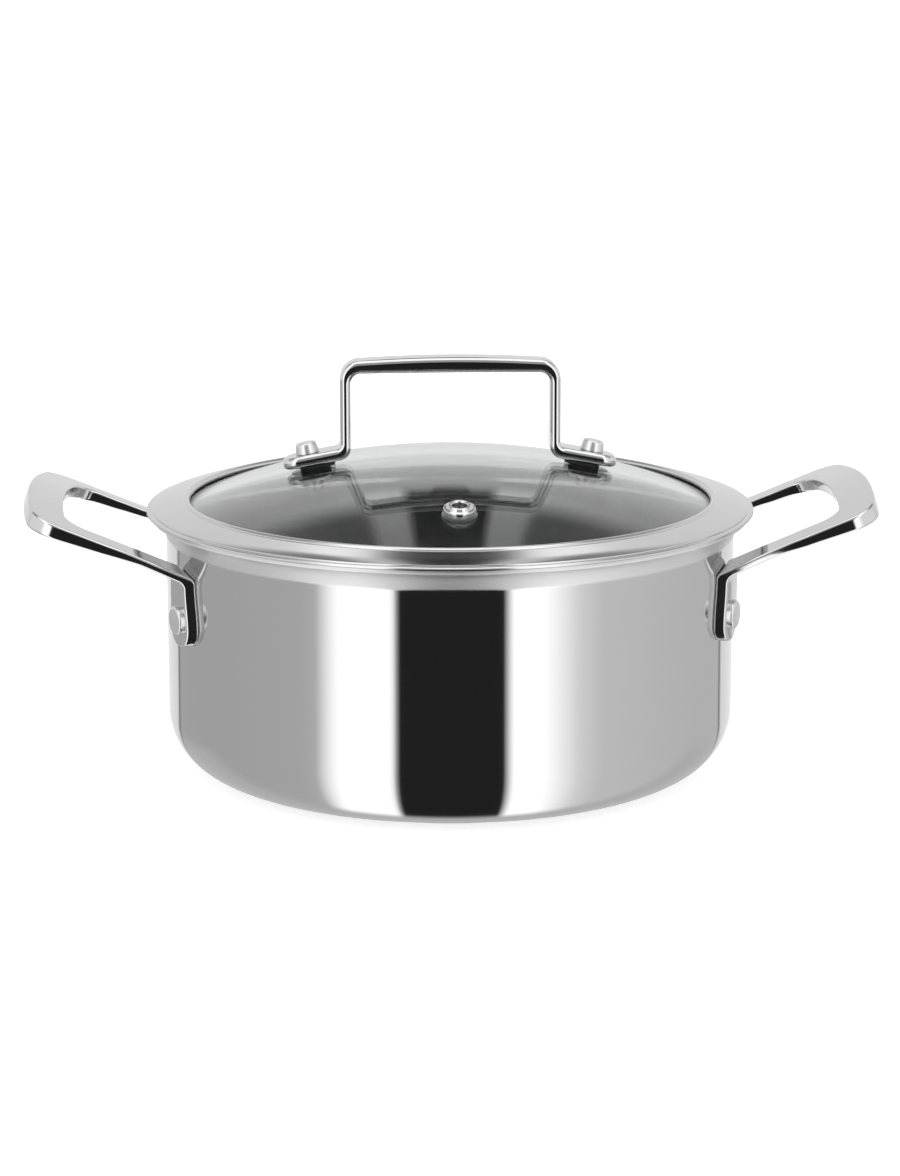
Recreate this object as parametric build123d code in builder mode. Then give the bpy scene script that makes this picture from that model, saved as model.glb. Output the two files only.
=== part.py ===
"""Two-handled stainless saucepan with a domed glass lid.

Millimetres. The origin is the middle of the pot's base, +Z is up, the loop handles lie
along X and the steam vent of the lid faces -Y.
"""

import os
from math import asin, cos, degrees, radians, sin, sqrt, tan

from build123d import *

# Pot wall, a clad sheet of three bonded layers
POT_RADIUS = 100.0
POT_HEIGHT = 92.0
BASE_CORNER_RADIUS = 21.5
SKIN_THICKNESS = 0.4
CORE_THICKNESS = 0.8
LINER_THICKNESS = 0.4
LIP_FLARE_RADIUS = 7.0
LIP_FLARE_ANGLE = 74.0

# Loop handles, a plate that leans up from the wall and falls away from a rounded ridge
HANDLE_LEAN = 22.0
HANDLE_TILT = 3.4
HANDLE_RIDGE_RADIUS = 380.0
HANDLE_ROOT_DROP = 8.4
HANDLE_REACH = 50.7
HANDLE_SPAN = 87.4
HANDLE_WAIST_SPAN = 86.2
HANDLE_BEND_SPAN = 88.4
HANDLE_ROOT_SPAN = 95.6
SLOT_SPAN = 67.2
SLOT_WAIST_SPAN = 67.8
GRIP_WIDTH = 13.0
GRIP_DEPTH = 6.0
ROOT_DEPTH = 2.9
GRIP_END_RADIUS = 180.0
GRIP_CORNER_RADIUS = 11.0
SLOT_CORNER_RADIUS = 9.0
ARM_WAIST_OFFSET = 12.0
TAB_WIDTH = 13.0
TAB_THICKNESS = 3.8
TAB_DROP = 28.6
TAB_BEND_RADIUS = 3.5
HANDLE_EDGE_RADIUS = 0.8

# Rivets that hold the loop handles to the wall
RIVET_DIAMETER = 5.0
RIVET_HEAD_DIAMETER = 10.0
RIVET_HEAD_HEIGHT = 2.2
RIVET_HEAD_EDGE = 0.9
RIVET_INNER_HEAD_DIAMETER = 12.0
RIVET_INNER_HEAD_HEIGHT = 1.6
RIVET_RISE = 7.0

# Glass dome, set by the pot's rim
GLASS_RISE = 19.0
GLASS_BOW = 18.15
GLASS_INSET = 4.0
GLASS_THICKNESS = 4.0
GLASS_EDGE_RADIUS = 0.8

# Steel band round the glass
BAND_OVERHANG = 6.8
BAND_SHEET = 0.7
BAND_HEM_RADIUS = 0.8
BAND_HEM_WIDTH = 4.0
BAND_LIP_RADIUS = 1.4
BAND_LIP_INSET = 3.1
BAND_LOWER_LIP = 4.2
BAND_SHOULDER = 0.45
BAND_CROWN = 0.25

# Strap handle on the lid
STRAP_RISE = 34.8
STRAP_ARCH = 2.0
STRAP_UNDER_ARCH = 0.3
STRAP_ARCH_SHARE = 0.65
STRAP_BAR_DEPTH = 5.4
STRAP_LEG_THICKNESS = 3.7
STRAP_OUTER_SPAN = 77.2
STRAP_TOE = 9.6
STRAP_TOP_WIDTH = 10.4
STRAP_FOOT_WIDTH = 12.4
STRAP_FOOT_THICKNESS = 3.5
STRAP_OUTER_CORNER = 7.0
STRAP_INNER_CORNER = 3.6
STRAP_TOE_RADIUS = 2.2
STRAP_HEEL_RADIUS = 4.6
STRAP_EDGE_RADIUS = 1.6
STRAP_END_FLAT = 1.6

# Studs and soft parts that hold the strap on the glass
STUD_OFFSET = 10.4
STUD_DIAMETER = 5.0
STUD_HEAD_DIAMETER = 8.4
STUD_HEAD_HEIGHT = 3.8
STUD_HEAD_TAPER = 0.5
STUD_HEAD_EDGE = 0.8
STUD_TAIL_DIAMETER = 8.0
STUD_TAIL_HEIGHT = 1.4
STUD_TAIL_EDGE = 1.0
PAD_THICKNESS = 2.0
PAD_INSET = 1.6
PAD_LENGTH = 16.0
BUSH_WALL = 1.2
SEAL_DIAMETER = 14.0
SEAL_THICKNESS = 1.5
WASHER_DIAMETER = 13.0
WASHER_THICKNESS = 1.2

# Steam vent
VENT_OFFSET = 63.0
VENT_DIAMETER = 11.0
VENT_HEIGHT = 2.2
VENT_BORE = 5.0
VENT_WALL = 0.8
VENT_ROLL_DIAMETER = 9.4
VENT_ROLL_HEIGHT = 1.0
VENT_EDGE = 0.9
VENT_ROLL_EDGE = 0.45
VENT_WASHER_DIAMETER = 12.0
VENT_WASHER_THICKNESS = 1.0

# Clearances
LID_SEAT_GAP = 0.3
GLASS_EDGE_GAP = 0.3
SHANK_GAP = 0.05
OVERSIZE = 20.0
OVERLAP = 0.5

# Sizes worked out from the ones above
WALL = SKIN_THICKNESS + CORE_THICKNESS + LINER_THICKNESS
FLARE = radians(LIP_FLARE_ANGLE)
FLARE_START = POT_HEIGHT - (LIP_FLARE_RADIUS + WALL) * sin(FLARE)
FLARE_CENTRE = POT_RADIUS + LIP_FLARE_RADIUS
GLASS_CREST = POT_HEIGHT + GLASS_RISE
GLASS_RADIUS = POT_RADIUS - GLASS_INSET
GLASS_CURVE_RADIUS = (GLASS_RADIUS**2 + GLASS_BOW**2) / (2 * GLASS_BOW)
BAND_RADIUS = POT_RADIUS + BAND_OVERHANG
BAND_LIP_CENTRE = GLASS_RADIUS - BAND_LIP_INSET
STRAP_HEIGHT = GLASS_CREST + STRAP_RISE
STUD_SPACING = STRAP_OUTER_SPAN + 2 * STUD_OFFSET
STRAP_LENGTH = STUD_SPACING + 2 * STRAP_TOE
GLASS_CENTRE_Z = GLASS_CREST - GLASS_CURVE_RADIUS
GLASS_INNER_CURVE = GLASS_CURVE_RADIUS - GLASS_THICKNESS


def sharp_edges(part, least_angle=20.0):
    """Edges whose two faces meet at more than least_angle degrees."""
    faces_of = {}
    for face in part.faces():
        for edge in face.edges():
            faces_of.setdefault(edge, []).append(face)
    sharp = ShapeList()
    for edge, faces in faces_of.items():
        if len(faces) != 2:
            continue
        middle = edge.position_at(0.5)
        first, second = (face.normal_at(middle) for face in faces)
        if first.get_angle(second) > least_angle:
            sharp.append(edge)
    return sharp


def flare_point(depth, angle):
    """A point of the lip, depth inside the wall's outer face, angle along the flare."""
    reach = LIP_FLARE_RADIUS + depth
    return (FLARE_CENTRE - reach * cos(angle), FLARE_START + reach * sin(angle))


def pot_layer(outer_depth, inner_depth):
    """Half section of one layer of the pot wall, between two depths below the outer face."""
    half_bend = FLARE / 2
    corner_height = BASE_CORNER_RADIUS
    corner_inset = POT_RADIUS - BASE_CORNER_RADIUS
    diagonal = sqrt(0.5)
    with BuildLine() as section:
        for depth in (outer_depth, inner_depth):
            corner = BASE_CORNER_RADIUS - depth
            corner_middle = (corner_inset + corner * diagonal, corner_height - corner * diagonal)
            Line((0, depth), (corner_inset, depth))
            ThreePointArc((corner_inset, depth), corner_middle, (POT_RADIUS - depth, corner_height))
            Line((POT_RADIUS - depth, corner_height), (POT_RADIUS - depth, FLARE_START))
            ThreePointArc(
                flare_point(depth, 0), flare_point(depth, half_bend), flare_point(depth, FLARE)
            )
        Line((0, outer_depth), (0, inner_depth))
        Line(flare_point(outer_depth, FLARE), flare_point(inner_depth, FLARE))
    return section


# Axes of the four handle rivets, each pointing out of the wall
HANDLE_TOP_Z = POT_HEIGHT - HANDLE_ROOT_DROP
TAB_BOTTOM = HANDLE_TOP_Z - TAB_DROP
TAB_MIDDLE_Y = (HANDLE_ROOT_SPAN - TAB_WIDTH) / 2
TAB_ANGLE = degrees(asin(TAB_MIDDLE_Y / POT_RADIUS))
RIVET_Z = TAB_BOTTOM + RIVET_RISE
RIVET_ANGLES = {
    "right_rear": TAB_ANGLE,
    "left_rear": 180 - TAB_ANGLE,
    "left_front": 180 + TAB_ANGLE,
    "right_front": -TAB_ANGLE,
}


def rivet_plane(angle):
    """Plane through the pot's axis at a rivet's height, its normal along the rivet."""
    out = (cos(radians(angle)), sin(radians(angle)), 0)
    return Plane(origin=(0, 0, RIVET_Z), x_dir=(0, 0, 1), z_dir=out)


# Pot layers
POT_LAYERS = {
    "pot_outer_skin": (0, SKIN_THICKNESS),
    "pot_core": (SKIN_THICKNESS, SKIN_THICKNESS + CORE_THICKNESS),
    "pot_liner": (SKIN_THICKNESS + CORE_THICKNESS, WALL),
}
pieces = {}
for layer_name, (outer_depth, inner_depth) in POT_LAYERS.items():
    with BuildPart() as pot_layer_part:
        with BuildSketch(Plane.XZ):
            add(pot_layer(outer_depth, inner_depth).line)
            make_face()
        revolve(axis=Axis.Z)
        for rivet_angle in RIVET_ANGLES.values():
            with BuildSketch(rivet_plane(rivet_angle)):
                Circle(RIVET_DIAMETER / 2 + SHANK_GAP)
            extrude(amount=POT_RADIUS + OVERSIZE, mode=Mode.SUBTRACT)
    pieces[layer_name] = pot_layer_part.part

# Loop handle, right side
LEAN = radians(HANDLE_LEAN)
BLOCK = 3 * POT_RADIUS
LOOP_PLANE = Plane(
    origin=(POT_RADIUS, 0, HANDLE_TOP_Z),
    x_dir=(cos(LEAN), 0, sin(LEAN)),
    z_dir=(-sin(LEAN), 0, cos(LEAN)),
)
TOP_RISE = tan(LEAN)
TAPER_REACH = TAB_THICKNESS + TAB_BEND_RADIUS
UNDER_RISE = TOP_RISE - (GRIP_DEPTH - ROOT_DEPTH) / (HANDLE_REACH * cos(LEAN) - TAPER_REACH)
SLOT_END = HANDLE_REACH - GRIP_WIDTH
SLOT_END_RADIUS = GRIP_END_RADIUS - GRIP_WIDTH
TAB_FOOT = -(TAB_DROP - TAB_WIDTH / 2) * sin(LEAN)


def arm_plane(reach, depth, rise):
    """Face of the front arm: rises outwards and falls away from the loop's middle."""
    fall = tan(radians(HANDLE_TILT))
    height = HANDLE_TOP_Z + TOP_RISE * reach - depth
    return Plane(origin=(POT_RADIUS + reach, 0, height), x_dir=(1, 0, rise), z_dir=(-rise, -fall, 1))


def bend_edge(part, radius):
    """The highest closed edge at a distance from the pot's axis, where plate and wall meet."""
    rings = ShapeList()
    for edge in part.edges().filter_by(GeomType.ELLIPSE):
        points = [edge.position_at(share) for share in (0, 0.3, 0.6)]
        if max(abs(sqrt(point.X**2 + point.Y**2) - radius) for point in points) < OVERLAP / 100:
            rings.append(edge)
    return rings.sort_by(Axis.Z)[-1]


def end_reach(radius, peak, half):
    """How far an end arc of a radius, furthest at peak, reaches at a half width."""
    return peak - radius + sqrt(radius**2 - half**2)


GRIP_CORNER = end_reach(GRIP_END_RADIUS, HANDLE_REACH, HANDLE_SPAN / 2)
SLOT_CORNER = end_reach(SLOT_END_RADIUS, SLOT_END, SLOT_SPAN / 2)
SHOULDER = SLOT_CORNER - 1.5 * SLOT_CORNER_RADIUS


def is_middle(edge):
    """Whether an edge lies in the XZ plane."""
    return max(abs(edge.position_at(share).Y) for share in (0, 0.5, 1)) < OVERLAP / 100


def arm_edge(halves, end, side):
    """One long edge of the loop, through its half widths at foot, bend, waist and shoulder."""
    stations = (TAB_FOOT, 0, ARM_WAIST_OFFSET, SHOULDER)
    points = [(along, side * half) for along, half in zip(stations, halves)]
    Line((-BLOCK / 2, side * halves[0]), points[0])
    Spline(*points, tangents=((1, 0), (1, 0)))
    Line(points[-1], (end, side * halves[-1]))


ROOT_INSIDE = HANDLE_ROOT_SPAN / 2 - TAB_WIDTH
OUTER_HALVES = [span / 2 for span in (HANDLE_ROOT_SPAN, HANDLE_BEND_SPAN, HANDLE_WAIST_SPAN, HANDLE_SPAN)]
SLOT_HALVES = [ROOT_INSIDE, ROOT_INSIDE, SLOT_WAIST_SPAN / 2, SLOT_SPAN / 2]

with BuildPart() as under_handle:
    with BuildSketch(arm_plane(0, ROOT_DEPTH, TOP_RISE)):
        Rectangle(4 * BLOCK, 4 * BLOCK)
    extrude(amount=-4 * BLOCK)
    with BuildSketch(arm_plane(TAPER_REACH, ROOT_DEPTH, UNDER_RISE)):
        Rectangle(8 * BLOCK, 8 * BLOCK)
    extrude(amount=-8 * BLOCK, mode=Mode.INTERSECT)
    with BuildSketch(Plane.XY.offset(-4 * BLOCK)):
        Circle(POT_RADIUS + TAB_THICKNESS)
    extrude(amount=8 * BLOCK, mode=Mode.SUBTRACT)

with BuildPart() as right_handle:
    # The bent section of the front arm, all round the pot
    with BuildSketch(arm_plane(0, 0, TOP_RISE)):
        Rectangle(2 * BLOCK, 2 * BLOCK)
    extrude(amount=-BLOCK)
    add(under_handle.part, mode=Mode.SUBTRACT)
    fillet(bend_edge(right_handle, POT_RADIUS + TAB_THICKNESS), radius=TAB_BEND_RADIUS)
    with BuildSketch(Plane.XY.offset(-4 * BLOCK)):
        Circle(POT_RADIUS)
    extrude(amount=8 * BLOCK, mode=Mode.SUBTRACT)
    fillet(bend_edge(right_handle, POT_RADIUS), radius=TAB_BEND_RADIUS + TAB_THICKNESS)

    # Outline of the loop, then the finger slot
    with BuildSketch(LOOP_PLANE) as outline:
        with BuildLine():
            for side in (1, -1):
                arm_edge(OUTER_HALVES, GRIP_CORNER, side)
            Line((-BLOCK / 2, -OUTER_HALVES[0]), (-BLOCK / 2, OUTER_HALVES[0]))
            ThreePointArc(
                (GRIP_CORNER, -OUTER_HALVES[-1]), (HANDLE_REACH, 0), (GRIP_CORNER, OUTER_HALVES[-1])
            )
        make_face()
        fillet(outline.vertices().sort_by(Axis.X)[-2:], radius=GRIP_CORNER_RADIUS)
    extrude(amount=BLOCK, both=True, mode=Mode.INTERSECT)
    with BuildSketch(LOOP_PLANE) as slot:
        with BuildLine():
            for side in (1, -1):
                arm_edge(SLOT_HALVES, SLOT_CORNER, side)
            Line((-BLOCK / 2, -SLOT_HALVES[0]), (-BLOCK / 2, SLOT_HALVES[0]))
            ThreePointArc((SLOT_CORNER, -SLOT_HALVES[-1]), (SLOT_END, 0), (SLOT_CORNER, SLOT_HALVES[-1]))
        make_face()
        fillet(slot.vertices().sort_by(Axis.X)[-2:], radius=SLOT_CORNER_RADIUS)
    extrude(amount=BLOCK, both=True, mode=Mode.SUBTRACT)

    # Front outline with the rounded ends of the tabs
    with BuildSketch(Plane.YZ):
        with Locations((0, TAB_BOTTOM + TAB_WIDTH / 2)):
            Rectangle(HANDLE_ROOT_SPAN, BLOCK, align=(Align.CENTER, Align.MIN))
        with Locations(
            (TAB_MIDDLE_Y, TAB_BOTTOM + TAB_WIDTH / 2), (-TAB_MIDDLE_Y, TAB_BOTTOM + TAB_WIDTH / 2)
        ):
            Circle(TAB_WIDTH / 2)
    extrude(amount=BLOCK, mode=Mode.INTERSECT)

    # The front half is kept and mirrored
    with BuildSketch(Plane.XZ):
        Rectangle(BLOCK, BLOCK, align=(Align.MIN, Align.MIN))
    extrude(amount=-BLOCK, mode=Mode.SUBTRACT)
    mirror(about=Plane.XZ)

    # The ridge in the middle of the grip is rounded, then every sharp edge
    ridges = [edge for edge in right_handle.edges() if edge.length > GRIP_WIDTH / 2 and is_middle(edge)]
    fillet(ridges, radius=HANDLE_RIDGE_RADIUS)
    fillet(sharp_edges(right_handle.part), radius=HANDLE_EDGE_RADIUS)
    for rivet_name in ("right_rear", "right_front"):
        with BuildSketch(rivet_plane(RIVET_ANGLES[rivet_name])):
            Circle(RIVET_DIAMETER / 2 + SHANK_GAP)
        extrude(amount=BLOCK, mode=Mode.SUBTRACT)
pieces["right_handle"] = right_handle.part

with BuildPart() as left_handle:
    mirror(right_handle.part, about=Plane.YZ)
pieces["left_handle"] = left_handle.part

# Handle rivets, their two heads bedded on the tab and on the inside of the pot
TAB_FACE = POT_RADIUS + TAB_THICKNESS
LINER_FACE = POT_RADIUS - WALL
INNER_HEAD_TOP = LINER_FACE - RIVET_INNER_HEAD_HEIGHT
HEAD_HALF = RIVET_HEAD_DIAMETER / 2
INNER_HEAD_HALF = RIVET_INNER_HEAD_DIAMETER / 2
for rivet_name, rivet_angle in RIVET_ANGLES.items():
    across = rivet_plane(rivet_angle)
    along = Plane(origin=across.origin, x_dir=across.z_dir, z_dir=across.y_dir)
    rivet_axis = Axis(across.origin, across.z_dir)
    with BuildPart() as rivet:
        with BuildSketch(along):
            with BuildLine():
                FilletPolyline(
                    (TAB_FACE - OVERLAP, 0),
                    (TAB_FACE + RIVET_HEAD_HEIGHT, 0),
                    (TAB_FACE + RIVET_HEAD_HEIGHT, HEAD_HALF),
                    (TAB_FACE - OVERLAP, HEAD_HALF),
                    radius=(0, 0, RIVET_HEAD_EDGE, 0),
                    close=True,
                )
            make_face()
            with BuildLine():
                Line((INNER_HEAD_TOP, 0), (LINER_FACE + OVERLAP, 0))
                Line((LINER_FACE + OVERLAP, 0), (LINER_FACE + OVERLAP, INNER_HEAD_HALF))
                Line((LINER_FACE + OVERLAP, INNER_HEAD_HALF), (LINER_FACE - OVERLAP, INNER_HEAD_HALF))
                TangentArc(
                    (INNER_HEAD_TOP, 0), (LINER_FACE - OVERLAP, INNER_HEAD_HALF), tangent=(0, 1)
                )
            make_face()
        revolve(axis=rivet_axis)
        with BuildSketch(Plane.XY):
            Circle(TAB_FACE)
            Circle(LINER_FACE, mode=Mode.SUBTRACT)
        extrude(amount=POT_HEIGHT, mode=Mode.SUBTRACT)
        with BuildSketch(across.offset(LINER_FACE - OVERLAP)):
            Circle(RIVET_DIAMETER / 2)
        extrude(amount=TAB_FACE - LINER_FACE + 2 * OVERLAP)
    pieces[f"{rivet_name}_rivet"] = rivet.part

# Places on the glass dome
DOME_CENTRE = (0, 0, GLASS_CENTRE_Z)
SEAM_AWAY = (0, 0, 45)
STUD_TILT = asin(STUD_SPACING / 2 / GLASS_CURVE_RADIUS)
SHANK_HOLE = STUD_DIAMETER / 2 + SHANK_GAP
BUSH_OUTSIDE = SHANK_HOLE + BUSH_WALL
FOOT_TOP = PAD_THICKNESS + STRAP_FOOT_THICKNESS
SEAL_BOTTOM = -GLASS_THICKNESS - SEAL_THICKNESS
STUD_WASHER_BOTTOM = SEAL_BOTTOM - WASHER_THICKNESS
VENT_TUBE = VENT_BORE / 2 + VENT_WALL
VENT_WASHER_BOTTOM = -GLASS_THICKNESS - VENT_WASHER_THICKNESS


def dome_height(curve_radius, reach):
    """Height of a sphere about the dome's centre at a distance from the lid's axis."""
    return GLASS_CENTRE_Z + sqrt(curve_radius**2 - reach**2)


def dome_plane(x, y):
    """Plane that touches the outside of the glass at x, y, its normal pointing outwards."""
    rise = sqrt(GLASS_CURVE_RADIUS**2 - x**2 - y**2)
    return Plane(origin=(x, y, GLASS_CENTRE_Z + rise), x_dir=(rise, 0, -x), z_dir=(x, y, rise))


def half_section(plane):
    """Plane through the normal of another plane, its Y along that normal."""
    return Plane(origin=plane.origin, x_dir=plane.x_dir, z_dir=-plane.y_dir)


STUD_PLANES = {
    "left": dome_plane(-STUD_SPACING / 2, 0),
    "right": dome_plane(STUD_SPACING / 2, 0),
}
VENT_PLANE = dome_plane(0, -VENT_OFFSET)
VENT_AXIS = Axis(VENT_PLANE.origin, VENT_PLANE.z_dir)

# Glass dome
with BuildPart() as lid_glass:
    with BuildSketch(Plane.XZ) as glass_section:
        with BuildLine():
            for curve in (GLASS_CURVE_RADIUS, GLASS_INNER_CURVE):
                ThreePointArc(
                    (0, dome_height(curve, 0)),
                    (GLASS_RADIUS / 2, dome_height(curve, GLASS_RADIUS / 2)),
                    (GLASS_RADIUS, dome_height(curve, GLASS_RADIUS)),
                )
            Line((0, GLASS_CREST), (0, GLASS_CREST - GLASS_THICKNESS))
            Line(
                (GLASS_RADIUS, dome_height(GLASS_CURVE_RADIUS, GLASS_RADIUS)),
                (GLASS_RADIUS, dome_height(GLASS_INNER_CURVE, GLASS_RADIUS)),
            )
        make_face()
        fillet(glass_section.vertices().sort_by(Axis.X)[-2:], radius=GLASS_EDGE_RADIUS)
    revolve(axis=Axis.Z)
    for stud_plane in STUD_PLANES.values():
        with BuildSketch(stud_plane):
            Circle(BUSH_OUTSIDE + SHANK_GAP)
        extrude(amount=OVERSIZE, both=True, mode=Mode.SUBTRACT)
    with BuildSketch(VENT_PLANE):
        Circle(VENT_TUBE + SHANK_GAP)
    extrude(amount=OVERSIZE, both=True, mode=Mode.SUBTRACT)
pieces["lid_glass"] = lid_glass.part

# Band round the glass: rolled lip, crowned sheet, hem, and the channel that grips the edge
LIP_Z = dome_height(GLASS_CURVE_RADIUS + BAND_LIP_RADIUS, BAND_LIP_CENTRE)
HEM_X = BAND_RADIUS - BAND_HEM_RADIUS
HEM_BOTTOM = POT_HEIGHT + LID_SEAT_GAP
HEM_Z = HEM_BOTTOM + BAND_HEM_RADIUS
SHEET_START = (BAND_LIP_CENTRE, LIP_Z + BAND_SHOULDER)
SHEET_END = (HEM_X, HEM_Z + BAND_HEM_RADIUS)
SHEET_MIDDLE = (
    (SHEET_START[0] + SHEET_END[0]) / 2,
    (SHEET_START[1] + SHEET_END[1]) / 2 + BAND_CROWN,
)
CHANNEL_INSIDE = GLASS_RADIUS + GLASS_EDGE_GAP
CHANNEL_OUTSIDE = CHANNEL_INSIDE + BAND_SHEET
CHANNEL_TOP = SHEET_START[1] - BAND_SHEET / 2 + (SHEET_END[1] - SHEET_START[1]) * (
    CHANNEL_OUTSIDE - BAND_LIP_CENTRE
) / (HEM_X - BAND_LIP_CENTRE)
CHANNEL_BOTTOM = dome_height(GLASS_INNER_CURVE - BAND_SHEET, CHANNEL_OUTSIDE)
LOWER_LIP_START = CHANNEL_OUTSIDE - BAND_LOWER_LIP
LOWER_LIP_MIDDLE = CHANNEL_OUTSIDE - BAND_LOWER_LIP / 2
with BuildPart() as lid_rim_band:
    with BuildSketch(Plane.XZ):
        with Locations((BAND_LIP_CENTRE, LIP_Z)):
            Circle(BAND_LIP_RADIUS)
        with BuildLine():
            for drop in (0, BAND_SHEET):
                ThreePointArc(
                    (SHEET_START[0], SHEET_START[1] - drop),
                    (SHEET_MIDDLE[0], SHEET_MIDDLE[1] - drop),
                    (SHEET_END[0], SHEET_END[1] - drop),
                )
            Line(SHEET_START, (SHEET_START[0], SHEET_START[1] - BAND_SHEET))
            Line(SHEET_END, (SHEET_END[0], SHEET_END[1] - BAND_SHEET))
        make_face()
        with Locations((HEM_X, HEM_Z)):
            Circle(BAND_HEM_RADIUS)
        with Locations((HEM_X, HEM_BOTTOM)):
            Rectangle(BAND_HEM_WIDTH, BAND_SHEET, align=(Align.MAX, Align.MIN))
        with Locations((CHANNEL_INSIDE, CHANNEL_BOTTOM)):
            Rectangle(BAND_SHEET, CHANNEL_TOP - CHANNEL_BOTTOM, align=(Align.MIN, Align.MIN))
        with BuildLine():
            for curve in (GLASS_INNER_CURVE, GLASS_INNER_CURVE - BAND_SHEET):
                ThreePointArc(
                    (LOWER_LIP_START, dome_height(curve, LOWER_LIP_START)),
                    (LOWER_LIP_MIDDLE, dome_height(curve, LOWER_LIP_MIDDLE)),
                    (CHANNEL_OUTSIDE, dome_height(curve, CHANNEL_OUTSIDE)),
                )
            for reach in (LOWER_LIP_START, CHANNEL_OUTSIDE):
                Line(
                    (reach, dome_height(GLASS_INNER_CURVE, reach)),
                    (reach, dome_height(GLASS_INNER_CURVE - BAND_SHEET, reach)),
                )
        make_face()
    revolve(axis=Axis.Z)
pieces["lid_rim_band"] = lid_rim_band.part

# Strap handle
LEG_OUTSIDE = STRAP_OUTER_SPAN / 2
LEG_INSIDE = LEG_OUTSIDE - STRAP_LEG_THICKNESS
FOOT_END = STRAP_LENGTH / 2 + OVERLAP
BAR_PEAK = STRAP_HEIGHT + STRAP_ARCH * STRAP_ARCH_SHARE / 2
BAR_UNDERSIDE = STRAP_HEIGHT - STRAP_BAR_DEPTH + STRAP_UNDER_ARCH * STRAP_ARCH_SHARE / 2


def foot_height(x, lift):
    """Height of a line parallel to the glass under the right foot, lift above the glass."""
    along_foot = (x - STUD_SPACING / 2 - lift * sin(STUD_TILT)) / cos(STUD_TILT)
    stud_height = dome_height(GLASS_CURVE_RADIUS, STUD_SPACING / 2)
    return stud_height + lift * cos(STUD_TILT) - along_foot * sin(STUD_TILT)


def arch_radius(half_span, arch):
    """Radius that rounds the peak of the strap's bar over its share of the half span."""
    return STRAP_ARCH_SHARE * half_span**2 / arch


def strap_half_width(z):
    """Half the strap's width at a height; it widens evenly from the bar to the feet."""
    foot_z = foot_height(LEG_OUTSIDE, FOOT_TOP)
    widening = (STRAP_HEIGHT - z) / (STRAP_HEIGHT - foot_z)
    return (STRAP_TOP_WIDTH + (STRAP_FOOT_WIDTH - STRAP_TOP_WIDTH) * widening) / 2


STRAP_SIDE = (
    ((LEG_OUTSIDE, BAR_PEAK - STRAP_ARCH), STRAP_OUTER_CORNER),
    ((LEG_OUTSIDE, foot_height(LEG_OUTSIDE, FOOT_TOP)), STRAP_TOE_RADIUS),
    ((FOOT_END, foot_height(FOOT_END, FOOT_TOP)), 0),
    ((FOOT_END, foot_height(FOOT_END, PAD_THICKNESS)), 0),
    ((LEG_INSIDE, foot_height(LEG_INSIDE, PAD_THICKNESS)), STRAP_HEEL_RADIUS),
    ((LEG_INSIDE, BAR_UNDERSIDE - STRAP_UNDER_ARCH), STRAP_INNER_CORNER),
)
STRAP_CORNERS = (
    [((0, BAR_PEAK), arch_radius(LEG_OUTSIDE, STRAP_ARCH))]
    + list(STRAP_SIDE)
    + [((0, BAR_UNDERSIDE), arch_radius(LEG_INSIDE, STRAP_UNDER_ARCH))]
    + [((-x, z), corner) for (x, z), corner in reversed(STRAP_SIDE)]
)
with BuildPart() as lid_handle:
    with BuildSketch(Plane.XZ):
        with BuildLine():
            FilletPolyline(
                [point for point, corner in STRAP_CORNERS],
                radius=[corner for point, corner in STRAP_CORNERS],
                close=True,
            )
        make_face()
    extrude(amount=STRAP_FOOT_WIDTH, both=True)
    with BuildSketch(Plane.YZ):
        with BuildLine():
            Polyline(
                (-strap_half_width(STRAP_HEIGHT), STRAP_HEIGHT),
                (strap_half_width(STRAP_HEIGHT), STRAP_HEIGHT),
                (strap_half_width(POT_HEIGHT), POT_HEIGHT),
                (-strap_half_width(POT_HEIGHT), POT_HEIGHT),
                close=True,
            )
        make_face()
    extrude(amount=STRAP_LENGTH / 2, both=True, mode=Mode.INTERSECT)
    end_faces = lid_handle.faces().filter_by(Axis.X).sort_by(Axis.X)
    end_corners = ShapeList()
    for end_face in (end_faces[0], end_faces[-1]):
        end_corners += [edge for edge in end_face.edges() if abs(edge.tangent_at(0.5).Z) > 0.5]
    fillet(end_corners, radius=(STRAP_FOOT_WIDTH - STRAP_END_FLAT) / 2)
    fillet(sharp_edges(lid_handle.part), radius=STRAP_EDGE_RADIUS)
    for stud_plane in STUD_PLANES.values():
        with BuildSketch(stud_plane):
            Circle(SHANK_HOLE)
        extrude(amount=OVERSIZE, mode=Mode.SUBTRACT)
pieces["lid_handle"] = lid_handle.part

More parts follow.
